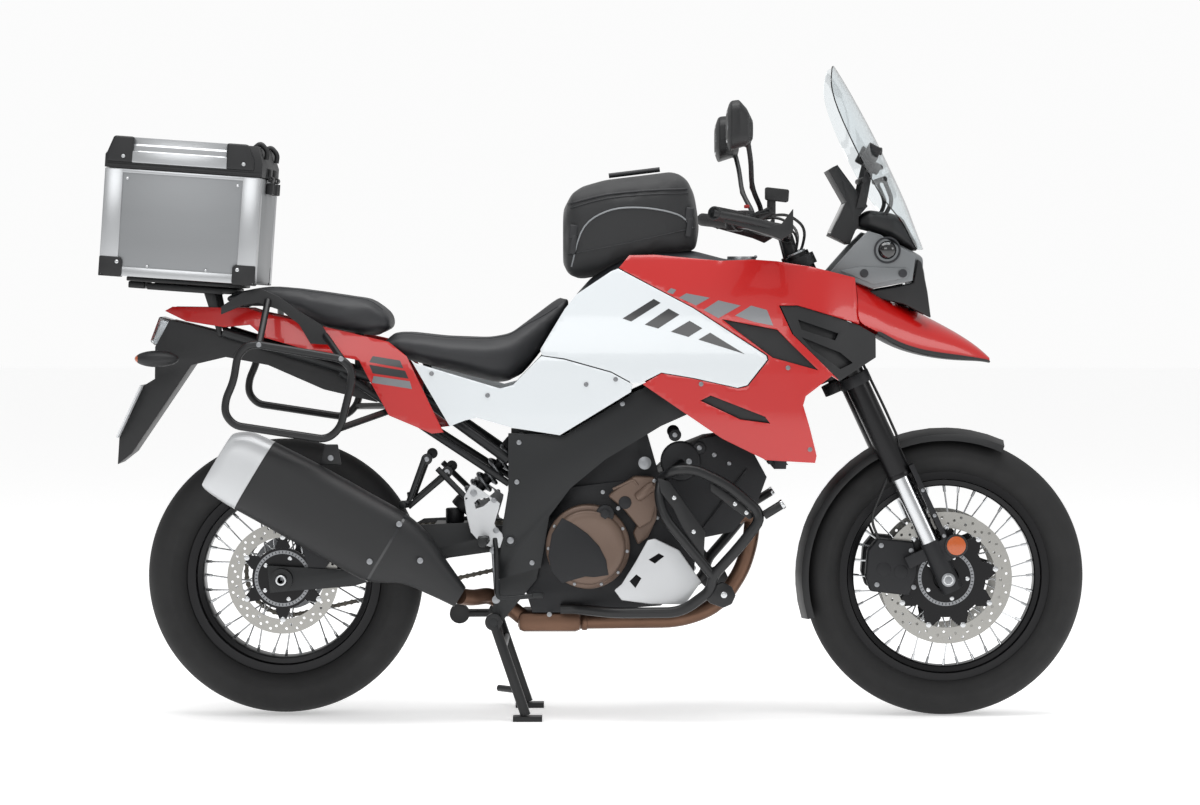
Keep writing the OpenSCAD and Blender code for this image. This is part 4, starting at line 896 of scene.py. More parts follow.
lid_black += [block((-L / 2, s * (W - 1), 255.5), (L - 4, 8, 5), (0, 0, 0), 1.6) for s in (-1, 1)]
lid_black += [block((4, y, 262), (9, 48, 22), (0, 0, 0), 3) for y in (-60, 60)]
ride(on_box(settle(joined(lid_alloy, "lid_rails"), "lid_rails", alloy_edge, 40)), "box_lid", "box_aluminium")
ride(on_box(settle(joined(lid_black, "lid_corners"), "lid_corners", moulded_black, 40)), "box_lid",
    "lid_black")
rack = [rounded_copy("luggage_rack", 2, 2)]
extras = [block((-175, s * 62, -20), (180, 22, 16), (0, 0, 0), 3)
    for s in (-1, 1)] + [block((-290, 0, -19), (40, 120, 16), (0, 0, 0), 3),
    block((-70, 0, -19), (36, 150, 14), (0, 0, 0), 3)]
rack += [on_box(e) for e in extras]
ride(joined(rack, "rack_plate", powder_black, 40), "chassis", "frame_black", "luggage_rack")
print("top box made")

# %% [markdown]
# ## Seats and tank bag
# Seats are foam under stretched vinyl: a smoothed copy of the seat's volume is swollen a little by a cloth
# simulation, then gets its seams. The bag is stiffened fabric; it is swollen the same way and smoothed less.

# %% Vinyl and fabric
def leather(name, base, roughness, pore, depth):
    """Embossed vinyl: small rounded cells with a broad unevenness in the gloss."""
    material, tree, shader, where = new_material(name, base, roughness)
    cells = add_node(tree, "ShaderNodeTexVoronoi", {"feature": "SMOOTH_F1"}, {"Scale": 1 / (pore * MM)},
        {"Vector": where})
    broad = add_node(tree, "ShaderNodeTexNoise", None, {"Scale": 9.0, "Detail": 4.0}, {"Vector": where})
    bump = add_node(tree, "ShaderNodeBump", None, {"Strength": depth, "Distance": 0.0006},
        {"Height": cells.outputs[0]})
    tree.links.new(bump.outputs[0], shader.inputs["Normal"])
    gloss = add_node(tree, "ShaderNodeMapRange", None, {"To Min": roughness - 0.08, "To Max": roughness +
        0.1}, {"Value": broad.outputs[0]})
    tree.links.new(gloss.outputs[0], shader.inputs["Roughness"])
    return material


def woven(name, base, roughness, thread, depth):
    """Plain-woven nylon: two crossing sets of threads."""
    material, tree, shader, where = new_material(name, base, roughness, 0.0, sheen_weight=0.15)
    bands = [add_node(tree, "ShaderNodeTexWave", {"bands_direction": d}, {"Scale": 0.3 / (thread * MM)},
        {"Vector": where}).outputs[1] for d in "XZ"]
    weave = add_node(tree, "ShaderNodeMath", {"operation": "MULTIPLY"})
    for band, socket in zip(bands, weave.inputs):
        tree.links.new(band, socket)
    bump = add_node(tree, "ShaderNodeBump", None, {"Strength": depth, "Distance": 0.0005},
        {"Height": weave.outputs[0]})
    tree.links.new(bump.outputs[0], shader.inputs["Normal"])
    return material


seat_vinyl = leather("embossed_seat_vinyl", "#202124", 0.52, 1.6, 0.3)
seat_top = leather("ribbed_seat_vinyl", "#2b2d30", 0.6, 2.2, 0.4)
bag_nylon = woven("ballistic_nylon", "#191a1c", 0.62, 1.4, 0.35)
bag_smooth = leather("coated_bag_fabric", "#1d1e21", 0.48, 1.2, 0.2)
piping_grey = finish("reflective_piping", "#85888b", 0.45, 0.2, 0.8, 0.06, 0.05, 0.05, 30)


def stuffed(node, voxel, cap, smooth, pressure=4.0):
    """A closed skin blown up gently, so that it crowns between its edges as a padded cover does."""
    piece = moulded_copy(node, voxel, smooth)
    rest = [v.co.copy() for v in piece.data.vertices]
    activate(piece)
    cloth = piece.modifiers.new("cloth", "CLOTH")
    cloth.settings.quality = 4
    cloth.settings.use_pressure = True
    cloth.settings.uniform_pressure_force = pressure
    cloth.settings.effector_weights.gravity = 0
    cloth.settings.tension_stiffness = cloth.settings.compression_stiffness = 25
    cloth.point_cache.frame_start, cloth.point_cache.frame_end = 1, 14
    for step in range(1, 13):
        bpy.context.scene.frame_set(step)
    bpy.ops.object.modifier_apply(modifier=cloth.name)
    for vertex, place in zip(piece.data.vertices, rest):
        move = vertex.co - place
        vertex.co = place + move * min(1, cap * MM / max(move.length, 1e-6))
    bpy.context.scene.frame_set(1)
    return modify(piece, "SMOOTH", factor=0.5, iterations=4)


rider = stuffed("rider_seat", 7, 5, 20)
ride(settle(rider, "rider_seat_cover", seat_vinyl, 60), "chassis", "seat_vinyl", "rider_seat")
pillion = stuffed("pillion_seat", 7, 5, 20)
ride(settle(pillion, "pillion_seat_cover", seat_vinyl, 60), "chassis", "seat_vinyl", "pillion_seat")
bag = stuffed("tank_bag", 7, 5, 10)
ride(settle(bag, "tank_bag_body", bag_nylon, 60), "chassis", "bag_fabric", "tank_bag")


def laid_on(piece, points, lift, side=-1):
    """Points of (x, z) put on the side of a finished piece, or (x, y) with side 0 on its top."""
    out = []
    for a, b in points:
        origin, way = (Vector((a, side * 400, b)) * MM, Vector((0, -side, 0))) if side else (Vector((a, b,
            1700)) * MM, Vector((0, 0, -1)))
        hit, where, normal, _ = piece.ray_cast(origin, way)
        if hit:
            out.append((where + normal * lift * MM) / MM)
    return out


def run(points, count=24):
    """A smooth line through a few points, as many short steps."""
    rows = [Vector(p) for p in points]
    out = []
    for i in range(count + 1):
        t = i / count * (len(rows) - 1)
        j = min(int(t), len(rows) - 2)
        f = t - j
        p0, p1, p2, p3 = rows[max(j - 1, 0)], rows[j], rows[j + 1], rows[min(j + 2, len(rows) - 1)]
        out.append(0.5 * ((2 * p1) + (p2 - p0) * f + (2 * p0 - 5 * p1 + 4 * p2 - p3) * f * f +
            (3 * p1 - p0 - 3 * p2 + p3) * f ** 3))
    return [tuple(p) for p in out]


seams = []
for side in (-1, 1):
    for route in ([(-58, 1060), (-30, 1150), (30, 1190), (110, 1196), (190, 1180), (222, 1150)],):
        line = laid_on(bag, run(route), 0.6, side)
        if len(line) > 3:
            seams.append(tube(line, 2.0, 2, False, 2))
ride(joined(seams, "bag_piping", piping_grey, 60), "chassis", "bag_fabric")
zips = []
for side in (-1, 1):
    for route, size in (([(-66, 1205), (20, 1226), (120, 1236), (210, 1240)], 2.6),
        ([(-60, 1196), (20, 1217), (120, 1227), (212, 1230)], 1.6),
            ([(-66, 1088), (60, 1112), (228, 1150)], 1.5)):
        line = laid_on(bag, run(route), 0.5, side)
        if len(line) > 3:
            zips.append(tube(line, size, 2, False, 2))
handle = laid_on(bag, run([(30, 0), (90, 0), (150, 0)], 12), 9, 0)
zips.append(tube(handle, 6, 4, False, 3))
for side in (-1, 1):
    for x, z in ((-52, 1140), (214, 1180)):
        spot = laid_on(bag, [(x, z)], 3, side)
        if spot:
            zips += [block(spot[0], (20, 8, 34), (0, 8, 0), 3),
                block(spot[0] + Vector((0, side * 2, -30)), (14, 5, 44), (0, 8, 0), 2)]
ride(joined(zips, "bag_zips_and_straps", bag_smooth, 50), "chassis", "bag_fabric")
seat_seams = []
for cover, ends, lift in ((rider, (-470, -90), 0.2), (pillion, (-850, -500), 0.2)):
    for side in (-1, 1):
        line = laid_on(cover, [(ends[0] + (ends[1] - ends[0]) * i / 30, side * 84) for i in range(31)],
            lift, 0)
        if len(line) > 3:
            seat_seams.append(tube(line, 1.5, 2, False, 2))
ride(joined(seat_seams, "seat_seams", seat_top, 60), "chassis", "seat_vinyl")
print("seats and bag made")

# %% [markdown]
# ## Front end and controls
# Round parts are bars and bent tubes, castings are rounded copies of the CAD solids with their bolts and
# ribs added. The fork is drawn along its own legs, which lean back 25 degrees.

# %% Fork
RAKE = math.radians(25)
FORK_Y = 105


def fork_at(forward, y, up):
    """A point on the fork: up along the legs from the axle, and forward of them."""
    return (820 + forward * math.cos(RAKE) - up * math.sin(RAKE), y, 330 + forward * math.sin(RAKE) +
        up * math.cos(RAKE))


def fork_bar(forward, y, low, high, radius, sides=48, round_off=0):
    return rod(fork_at(forward, y, low), fork_at(forward, y, high), radius, sides, None, round_off)


uppers, lowers, caps = [], [], []
for y in (-FORK_Y, FORK_Y):
    uppers += [fork_bar(0, y, 262.2, 838, 27.9, 64, 1.5), fork_bar(0, y, 262.2, 276, 27.95, 64, 2)]
    lowers.append(fork_bar(0, y, 90, 268, 21.4, 64))
    caps += [fork_bar(0, y, 836, 842, 22, 48, 1), fork_bar(0, y, 838, 841.8, 9, 6, 0.6)]
ride(joined(uppers, "fork_uppers", anodised_black, 30), "steering", "fork_black", "fork_tubes")
ride(joined(lowers, "fork_stanchions", steel_bright, 30), "steering", "stanchion", "fork_legs")
ride(joined(caps, "fork_caps", alloy_silver, 30), "steering", "clamp_silver")
feet = [rounded_copy("fork_feet", 2.5, 3)]
for y in (-FORK_Y, FORK_Y):
    feet += [fork_bar(0, y, 92, 97, 24.9, 48, 1.2)]
ride(joined(feet, "fork_castings", cast_black, 35), "steering", "plastic_black", "fork_feet")
ride(settle(rounded_copy("fork_clamps", 2, 2), "fork_yokes", cast_black, 35), "steering", "clamp_silver",
    "fork_clamps")
bolts = []
for y in (-1, 1):
    for up in (80, 98, 150, 215):
        spot = fork_at(34, y * FORK_Y, up)
        bolts += screw((spot[0], y * 127 if up < 99 else y * 126, spot[2]), 4.5, 2.4, y)
    bolts += [across(820, 330, 16, y * 128, y * 130.9, 40, 1)]
    for x, z in ((666, 408), (736, 396), (742, 310), (656, 316)):
        bolts += screw((x, y * 94.5, z), 6, 2.6, y)
ride(joined(bolts, "fork_bolts", steel_dull, 35), "steering", "axle_steel")
ride(settle(rounded_copy("front_axle", 1, 2), "front_axle_tube", steel_bright, 35), "steering",
    "axle_steel", "front_axle")
ride(settle(rounded_copy("rear_axle", 1, 2), "rear_axle_tube", steel_bright, 35), "chassis", "axle_steel",
    "rear_axle")

# %% Front brake and mudguard
brakes = [rounded_copy("front_calipers", 5, 3)]
hoses = []
for y in (-1, 1):
    for x, z in ((672, 352), (712, 346)):
        brakes.append(across(x, z, 17, *sorted((y * 88, y * 96)), 40, 2))
    hoses.append(tube([(662, y * 88, 420), (640, y * 96, 470), fork_at(34, y * 98, 330),
        fork_at(36, y * 88, 430),
        fork_at(34, y * 70, 560)], 3.2, 30))
ride(joined(brakes, "brake_calipers", cast_black, 35), "steering", "plastic_black", "front_calipers")
guard = rounded_copy("front_fender", 1.2, 2)
ride(settle(guard, "front_mudguard", moulded_black, 50), "steering", "plastic_black", "front_fender")
reflectors = [across(838, 410, 27, *sorted((y * 124, y * 131)), 48, 1.5) for y in (-1, 1)]
ride(joined(reflectors, "reflector_bezels", moulded_black, 40), "steering", "plastic_black")
ambers = [across(838, 410, 22, *sorted((y * 130, y * 133)), 48, 1) for y in (-1, 1)]
ride(joined(ambers, "side_reflectors", lens_amber, 40), "steering", "lens")
print("fork made")

# %% Handlebar, grips, levers and cables
bars, grips, rings, levers, guards = [], [], [], [], []
bars.append(rod((446, -72, 1128), (446, 72, 1128), 14, 32))
for y in (-1, 1):
    route = [(446, y * 60, 1128), (434, y * 130, 1138), (372, y * 215, 1162), (262, y * 438, 1178)]
    bars.append(tube(route, 12, 40, False, 8))
    bars.append(rod((464, y * 38, 1066), (446, y * 38, 1128), 17.9, 32, 16, 2))
    a, b = Vector(route[2]), Vector(route[3])
    at = lambda t: tuple(a.lerp(b, t))
    grips.append(rod(at(0.42), at(0.985), 15.7, 32, None, 2))
    grips += [rod(at(0.47 + 0.03 * i), at(0.478 + 0.03 * i), 15.98, 32) for i in range(16)]
    rings.append(rod(at(0.965), at(1.0), 15.9, 32, None, 2))
    guards += [rod(at(0.2), at(0.4), 19, 24, None, 4), block(at(0.31), (34, 44, 40), (0, 0, -26 * y), 7)]
    guards += [tube([(262, y * 438, 1178), (330, y * 426, 1166), (424, y * 380, 1142), (420, y * 250, 1150),
        (388, y * 186, 1156)], 8.5, 30)]
    guards.append(plate([(269, 1186), (330, 1169), (388, 1151), (415, 1155), (441, 1189), (441, 1135),
        (415, 1119),
        (386, 1131), (270, 1163)], y * 400 - 4, y * 400 + 4, 2))
    levers += [tube([(398, y * 240, 1186), (352, y * 300, 1176), (300, y * 385, 1160)], 5, 40),
        rod((300, y * 383, 1160), (298, y * 387, 1159.6), 6.5, 16, None, 2)]
    guards.append(rod((360, y * 232, 1166), (404, y * 242, 1190), 11, 24, None, 2))
guards += [plate([(386, 1241), (440, 1235), (438, 1206), (386, 1212)], -262, -212, 4),
    rod((400, -240, 1180), (400, -240, 1214), 10, 24)]
ride(joined(bars, "handlebar_tube", frame_paint, 35), "steering", "frame_black", "handlebar")
ride(joined(grips, "rubber_grips", rubber_grip, 35), "steering", "plastic_black")
ride(joined(rings + levers, "bar_ends_and_levers", frame_paint, 35), "steering", "frame_black")
ride(joined(guards, "switches_and_guards", moulded_black, 40), "steering", "plastic_black", "bar_controls")
ride(settle(block((342, -276, 1196), (12, 10, 8), (0, 0, 0), 2), "stop_switch", red_switch), "steering",
    "plastic_black")
leads = []
for y in (-1, 1):
    leads.append(tube([(398, y * 232, 1176), (440, y * 200, 1180), (486, y * 150, 1150),
        (476, y * 100, 1090), (440, y * 60, 1050)], 3.4, 40))
    leads.append(tube([(372, y * 236, 1150), (430, y * 190, 1158), (470, y * 130, 1130),
        (460, y * 80, 1070)], 2.8, 40))
ride(joined(leads + hoses, "cables_and_hoses", cable_black), "steering", "plastic_black")

# %% Mirrors
stems, glasses = [], []
for y in (-1, 1):
    stems.append(tube([(380, y * 204, 1175), (376, y * 216, 1196), (354, y * 262, 1240),
        (349, y * 330, 1300), (338, y * 374, 1350)], 5.9, 40))
    stems.append(rod((380, y * 204, 1172), (379, y * 207, 1184), 9, 6, None, 1))
ride(joined(stems, "mirror_stems", frame_paint), "steering", "plastic_black")
shell = moulded_copy("mirrors", 3.2, 8)
ride(settle(shell, "mirror_shells", moulded_black, 60), "steering", "plastic_black", "mirrors")
for y in (-1, 1):
    deselect()
    bpy.ops.mesh.primitive_cylinder_add(vertices=64, radius=1, depth=1.4 * MM,
        location=(292.9 * MM, y * 385 * MM, 1373 * MM),
        rotation=(0, math.radians(90), 0))
    bpy.context.object.scale = (0.036, 0.062, 1)
    glasses.append(bpy.context.object)
ride(joined(glasses, "mirror_glasses", mirror_glass, 30), "steering", "lens")
print("controls made")

# %% [markdown]
# ## Engine, exhaust and guards
# The castings are rounded and carry their covers, ribs and bolts. The clutch cover is spun, with a step
# round its rim and a dark plate across its lower half.

# %% Engine
RIGHT = -1
case = [rounded_copy("engine", 7, 3)]
for y in (-1, 1):
    case += [block((330 - 9 * i, y * 92, 560 - 12.5 * i), (3, 10, 70), (0, 38, 0), 1) for i in range(9)]
    case += [across(x, z, 15, *sorted((y * 90, y * 99)), 32, 3) for x,
        z in ((216, 605), (183, 667), (240, 637))]
case.append(across(196, 606, 47, -101, -90, 64, 6))
case += [block((-66, -112, 600 + 14 * i), (3, 10, 50), (0, 78, 0), 1.2) for i in range(5)]
ride(joined(case, "engine_castings", cast_black, 40), "chassis", "engine_black", "engine")
cover = spun([(97.8, -108.6), (97.8, -150), (95, -154), (88, -157), (85, -166), (81, -169.5), (64, -170.5),
    (60, -168.6), (20, -168.2),
    (0.1, -168.2), (0.1, -108.6)], (-20, 409), 128)
pump = plate([(46, 545), (88, 574), (136, 571), (142, 520), (128, 468), (100, 450), (66, 492), (26, 527)],
    -150, -108.6, 6, 3)
lobe = plate([(104, 480), (140, 520), (140, 474), (120, 430), (96, 412), (84, 440)], -134, -108.6, 5, 3)
rib = rod((92, -147, 521), (134, -147, 555), 12.5, 32, None, 8)
hook = tube([(38, -149, 543), (86, -149, 566), (96, -149, 552)], 3.2, 8)
ride(joined([cover, pump, lobe, rib, hook], "bronze_covers", cast_bronze, 38), "chassis", "cover_bronze",
    "engine_covers")
dark_plate = plate([(-80, 478), (-56, 466), (-20, 440), (6, 412), (22, 380), (28, 345), (-6, 340),
    (-26, 342), (-80, 326), (-104, 352),
    (-112, 390), (-104, 440)], -171.9, -166, 1.6, 2)
plug = [across(20, 487, 21, -166, -140, 40, 3), across(20, 487, 12, -171, -160, 6, 1),
    across(66, 512, 15, -153, -146, 40, 2),
    across(-20, 405, 85.9, 109, 160, 72, 8), across(-20, 405, 60, 150, 164.9, 72, 4),
    plate([(-175, 340), (-175, 430), (-112, 430), (-112, 320)], 108.6, 111, 0.8)]
ride(joined([dark_plate] + plug, "dark_covers", cast_black, 38), "chassis", "engine_black")
bolts = []
for degrees in (-58, -92, -128, -160, 30, 62, 96, 130, 160):
    spot = polar((-20, 409), 91.5, degrees, -155)
    bolts += screw(spot, 4, 3.4, RIGHT)
for x, y, z, r in ((14.5, -140, 536, 5), (50, -150, 499, 5), (119, -140, 470, 4.5), (134, -150, 563, 4.5),
    (142, -112, 474, 4.5),
        (183, -99, 667, 6), (240, -99, 637, 6), (216, -99, 605, 7), (275, -93, 620, 5.5), (310, -93, 600, 5)):
    bolts += screw((x, y, z), r, 3, RIGHT)
ride(joined(bolts, "engine_bolts", steel_dull, 35), "chassis", "axle_steel")
core = [rounded_copy("radiator", 2, 2)]
core += [block((434 + 0.067 * (z - 590), 0, z), (20, 288, 1.6), (0, 0, 0), 0.2) for z in range(600, 765, 8)]
ride(joined(core, "radiator_core", cast_black, 35), "chassis", "plastic_black", "radiator")
print("engine made")

# %% Exhaust
header = [tube([(351.4, 0, 478.4), (369, 0, 464), (364, 0, 410), (345, -5, 345), (290, -20, 262),
    (200, -40, 228), (-60, -50, 226)],
    18.9, 60, False, 8)]
header += [block((-110, -23, 228), (149, 149, 47), (0, 0, 0), 14)]
header += [tube([(-160, -68, 226), (-215, -70, 270), (-252, -84, 290), (-290, -150, 290),
    (-316, -186, 298)], 18.9, 40, False, 8)]
header += [rod((-36, -49.5, 226), (-22, -49.2, 226.3), 22, 40, None, 3),
    rod((350, 0, 478), (357, 0, 473), 27, 40, None, 2)]
ride(joined(header, "header_pipe", header_steel, 40), "chassis", "header", "exhaust_pipe")


def muffler_at(back, y, up):
    """A point on the silencer, measured back along it, out from its middle and up from it."""
    turn = math.radians(31)
    return (-318 - back * math.cos(turn) + up * math.sin(turn), -196 + y, 300 + back * math.sin(turn) +
        up * math.cos(turn))


MUFFLER = [(-4, -27, 24, 30), (60, -33, 52, 42), (128, -44, 84, 52), (200, -80, 99, 62), (300, -86, 98, 64),
    (430, -90, 94, 64),
    (546, -94, 86, 61)]


def squared_ring(back, low, high, half, count=40, power_of=0.7):
    points = []
    for i in range(count):
        a = math.tau * i / count
        points.append(muffler_at(back, half * power(math.cos(a), power_of), (low + high) / 2 +
            (high - low) / 2 * power(math.sin(a), power_of)))
    return points


def sleeve(rows):
    """A closed skin through a row of rings: one ring is extruded along and its corners moved each time."""
    body = corners(rows[0], "NGON")
    activate(body)
    bpy.ops.object.mode_set(mode="EDIT")
    bpy.ops.mesh.select_all(action="SELECT")
    for row in rows[1:]:
        bpy.ops.mesh.extrude_region_move(TRANSFORM_OT_translate={"value": (-0.001, 0, 0)})
    bpy.ops.object.mode_set(mode="OBJECT")
    count = len(rows[0])
    for index, vertex in enumerate(body.data.vertices):
        vertex.co = Vector(rows[index // count][index % count]) * MM
    return in_edit(body, (bpy.ops.mesh.normals_make_consistent, {"inside": False}))


def between(rows, steps=6):
    """Rows of numbers with smooth rows added between them."""
    out = []
    for j in range(len(rows) - 1):
        p0, p1, p2, p3 = rows[max(j - 1, 0)], rows[j], rows[j + 1], rows[min(j + 2, len(rows) - 1)]
        for i in range(steps):
            f = i / steps
            out.append([0.5 * (2 * b + (c - a) * f + (2 * a - 5 * b + 4 * c - d) * f * f +
                (3 * b - a - 3 * c + d) * f ** 3)
                for a, b, c, d in zip(p0, p1, p2, p3)])
    return out + [list(rows[-1])]


can = sleeve([squared_ring(*row) for row in between(MUFFLER)])
modify(can, "BEVEL", width=3 * MM, segments=3, limit_method="ANGLE", angle_limit=math.radians(50))
tab = plate([(-640, 602), (-590, 602), (-598, 649), (-628, 649)], -188, -176, 2)
ride(joined([can, tab], "muffler_can", moulded_black, 45), "chassis", "muffler_black", "muffler")
# A thin dark band marks the seam between the front shield and the can
band = sleeve([squared_ring(b, lo - 0.6, hi + 0.6, w + 0.5) for b, lo, hi,
    w in between([(196, -79, 98.8, 61.6), (202, -80, 99, 62.1)], 1)])
ride(settle(band, "muffler_seam", decal_black, 45), "chassis", "muffler_black")
END = [(546.5, -94.2, 86.2, 61.2), (575, -94, 83, 60), (600, -93, 79, 58.6), (622, -91, 68, 56),
    (636, -87, 56, 50), (639, -84, 50, 46)]
cap = sleeve([squared_ring(*row) for row in between(END, 3)])
ride(settle(cap, "muffler_cap", alloy_painted, 40), "chassis", "muffler_silver", "muffler_end")
outlet = rod(muffler_at(630, 0, -20), muffler_at(639.8, 0, -20), 25.5, 40)
ride(settle(outlet, "muffler_outlet", cast_black, 40), "chassis", "muffler_black")
spots = []
for x, z in ((-614, 618), (-452, 470), (-520, 384), (-404, 386)):
    spots += screw((x, -188 if x == -614 else -258, z), 7, 2 if x != -614 else 3, RIGHT)
ride(joined(spots, "muffler_screws", steel_dull, 35), "chassis", "axle_steel")
print("exhaust made")

# %% Belly cowls and crash bars
BELLY = [(118, 427), (135, 431), (191, 404), (242, 331), (205, 278), (126, 279), (58, 288), (41, 311),
    (58, 325), (90, 376)]
cowls = []
for y in (-1, 1):
    sheet = plate(BELLY, *sorted((y * 180.2, y * 185.9)), 2.4, 3)
    holes = [plate(hole, *sorted((y * 170, y * 195)), 0) for hole in
        ([(120, 382), (144, 397), (157, 390), (135, 373)], [(76, 332), (92, 348), (104, 339), (90, 316)])]
    cowls.append(drill(sheet, holes))
    cowls += [across(x, z, 8, *sorted((y * 108.4, y * 181)), 24) for x, z in ((150, 325), (110, 318))]
ride(joined(cowls, "belly_cowl_pair", alloy_painted, 35), "chassis", "belly_silver", "belly_cowls")
GUARD_Y = 238
bars, brackets, bolts = [], [], []
for y in (-1, 1):
    bars.append(tube([(150, y * 190, 568), (180, y * GUARD_Y, 594), (226, y * GUARD_Y, 594),
        (300, y * GUARD_Y, 560),
        (384, y * GUARD_Y, 488),
        (330, y * GUARD_Y, 418), (268, y * 224, 348), (262, y * 214, 312), (196, y * 205, 262),
        (40, y * 180, 258), (-50, y * 122, 262),
        (-84, y * 121, 262)], 12.4, 34, False, 6))
    bars.append(tube([(150, y * 190, 568), (142, y * 216, 530), (156, y * 234, 484), (268, y * 224, 348)],
        11.4, 24, False, 6))
    bars.append(rod((384, y * GUARD_Y, 488), (426, y * GUARD_Y, 514), 10.4, 32, None, 2))
    bars.append(rod((150, y * 190, 568), (197.4, y * 97.3, 602.1), 9, 24))
    brackets.append(plate([(140, 574), (168, 566), (200, 520), (250, 450), (246, 378), (222, 402),
        (176, 504), (148, 540)],
        *sorted((y * 219, y * 224)), 1.5))
    brackets.append(plate([(262, 566), (276, 556), (330, 520), (364, 486), (352, 478), (316, 502),
        (262, 544)], *sorted((y * 222, y * 227)), 1.5))
    brackets.append(plate([(245, 300), (262, 322), (290, 334), (312, 322), (321, 302), (312, 282),
        (292, 273), (262, 284)],
        *sorted((y * 208, y * 218)), 3))
    for x, z, at in ((178.6, 528, 224), (223.6, 449.7, 224), (318.6, 514, 227), (344.9, 494, 227),
        (293.7, 303.6, 218)):
        bolts += screw((x, y * at, z), 7.5 if x == 293.7 else 5, 2.6, y)
    bolts.append(rod((423, y * GUARD_Y, 512), (430, y * GUARD_Y, 516.4), 11.4, 32, None, 2))
ride(joined(bars + brackets, "crash_bar_tubes", powder_black, 40), "chassis", "tube_black", "crash_bars")
ride(joined(bolts, "crash_bar_bolts", steel_bright, 35), "chassis", "axle_steel")
print("guards made")

# %% [markdown]
# ## Frame, swingarm and chain
# The frame and swingarm are rounded copies with their bolts. The chain is a run of separate links laid
# round the two sprockets, and the shock carries a wound spring.

# %% Frame and rear rails
ride(settle(rounded_copy("main_frame", 5, 3), "frame_spars", frame_paint, 40), "chassis", "frame_black",
    "main_frame")
rails, bolts = [], []
for y in (-1, 1):
    rails.append(tube([(-204, y * 129, 609), (-430, y * 74, 770), (-873.7, y * 74, 908)], 12, 70, False, 6))
    rails.append(rod((-204, y * 129.1, 554.7), (-600, y * 74, 812), 8, 24))
    rails.append(across(-480, 786, 5, *sorted((y * 74, y * (tail_y(-480, 786) - 5.3))), 24))
    rails.append(across(-320, 709, 4, *sorted((y * 100, y * (cowl_y(-320, 704) - 5.3))), 24))
    rails += [rod((x, y * 45, low), (x, y * 45, high), 8, 24) for x, low,
        high in ((-400, 752, 833.2), (-560, 811, 906.4))]
    bolts += screw((112, y * 150, 604), 12, 3, y) + [across(112, 604, 15, *sorted((y * 149, y * 150.8)), 40,
        0.6)]
    for x, z in ((-180, 652), (-185, 560), (60, 742), (-200, 424), (-150, 372), (-110, 250)):
        bolts += screw((x, y * (150 if z > 300 else 131.5), z), 8 if z == 424 else 6, 3, y)
rails += [across(-400, 752, 9, -78, 78, 24), across(-560, 811, 9, -74, 74, 24)]
ride(joined(rails, "rear_rails", frame_paint, 40), "chassis", "frame_black", "subframe")
ride(joined(bolts, "frame_bolts", steel_dull, 35), "chassis", "axle_steel")

# %% Swingarm, shock and chain
ride(settle(rounded_copy("swingarm", 3, 3), "swingarm_casting", frame_paint, 40), "chassis", "frame_black",
    "swingarm")
low, high = Vector((-322, 0, 486)), Vector((-188.2, 0, 642.4))
along = (high - low).normalized()
sideways = along.cross(Vector((0, 1, 0))).normalized()
coil = []
for i in range(181):
    a = math.tau * 7 * i / 180
    coil.append(low + along * (26 + (high - low).length * 0.74 * i / 180) +
        (sideways * math.cos(a) + Vector((0, 1, 0)) * math.sin(a)) * 23)
spring = tube(coil, 4.6, 0.5, False, 4)
ride(settle(spring, "shock_spring", steel_dull, 40), "chassis", "plastic_black")
damper = [rod(low, high, 13, 32), rod(low, low + along * 24, 27.9, 48, None, 3),
    rod(high - along * 22, high, 27.9, 48, None, 3),
    rod((-335, 0, 455.3), (-335, 0, 489.3), 22, 40, None, 3)]
ride(joined(damper, "shock_body", cast_black, 40), "chassis", "plastic_black", "rear_shock")

CHAIN = ((-735, 330, 92), (-140, 405, 34))
CHAIN_Y = 89
PITCH = 15.875


def chain_points(pitch):
    """Even steps round the two sprockets: an arc, a straight, an arc and a straight."""
    (x0, z0, r0), (x1, z1, r1) = CHAIN
    span = math.hypot(x1 - x0, z1 - z0)
    rise, tilt = math.atan2(z1 - z0, x1 - x0), math.asin((r0 - r1) / span)
    up, down = math.pi / 2 + rise - tilt, -math.pi / 2 + rise + tilt
    dense = []
    for (x, z, r), start, end in ((CHAIN[0], up, down + math.tau), (CHAIN[1], down, up)):
        dense += [(x + (r + 11.5) * math.cos(start + (end - start) * i / 60), z +
            (r + 11.5) * math.sin(start + (end - start) * i / 60))
            for i in range(61)]
    dense.append(dense[0])
    lengths = [math.dist(a, b) for a, b in zip(dense, dense[1:])]
    total = sum(lengths)
    count = round(total / pitch / 2) * 2
    points, i, gone = [], 0, 0
    for k in range(count):
        want = total * k / count
        while gone + lengths[i] < want:
            gone += lengths[i]
            i += 1
        f = (want - gone) / lengths[i]
        points.append((dense[i][0] + (dense[i + 1][0] - dense[i][0]) * f, dense[i][1] +
            (dense[i + 1][1] - dense[i][1]) * f))
    return points


def link(gap):
    """One chain link drawn along x from the origin: two plates, their round ends and a roller."""
    parts = [across(x, 0, 5.6, y - 0.9, y + 0.9, 12) for x in (0, PITCH)
        for y in (CHAIN_Y - gap, CHAIN_Y + gap)]
    parts += [block((7.9, y, 0), (14, 1.7, 8), (0, 0, 0), 0.2) for y in (CHAIN_Y - gap, CHAIN_Y + gap)]
    return joined(parts + [across(0, 0, 4.9, 84.5, 93.5, 10)], "link", chain_steel, 35)


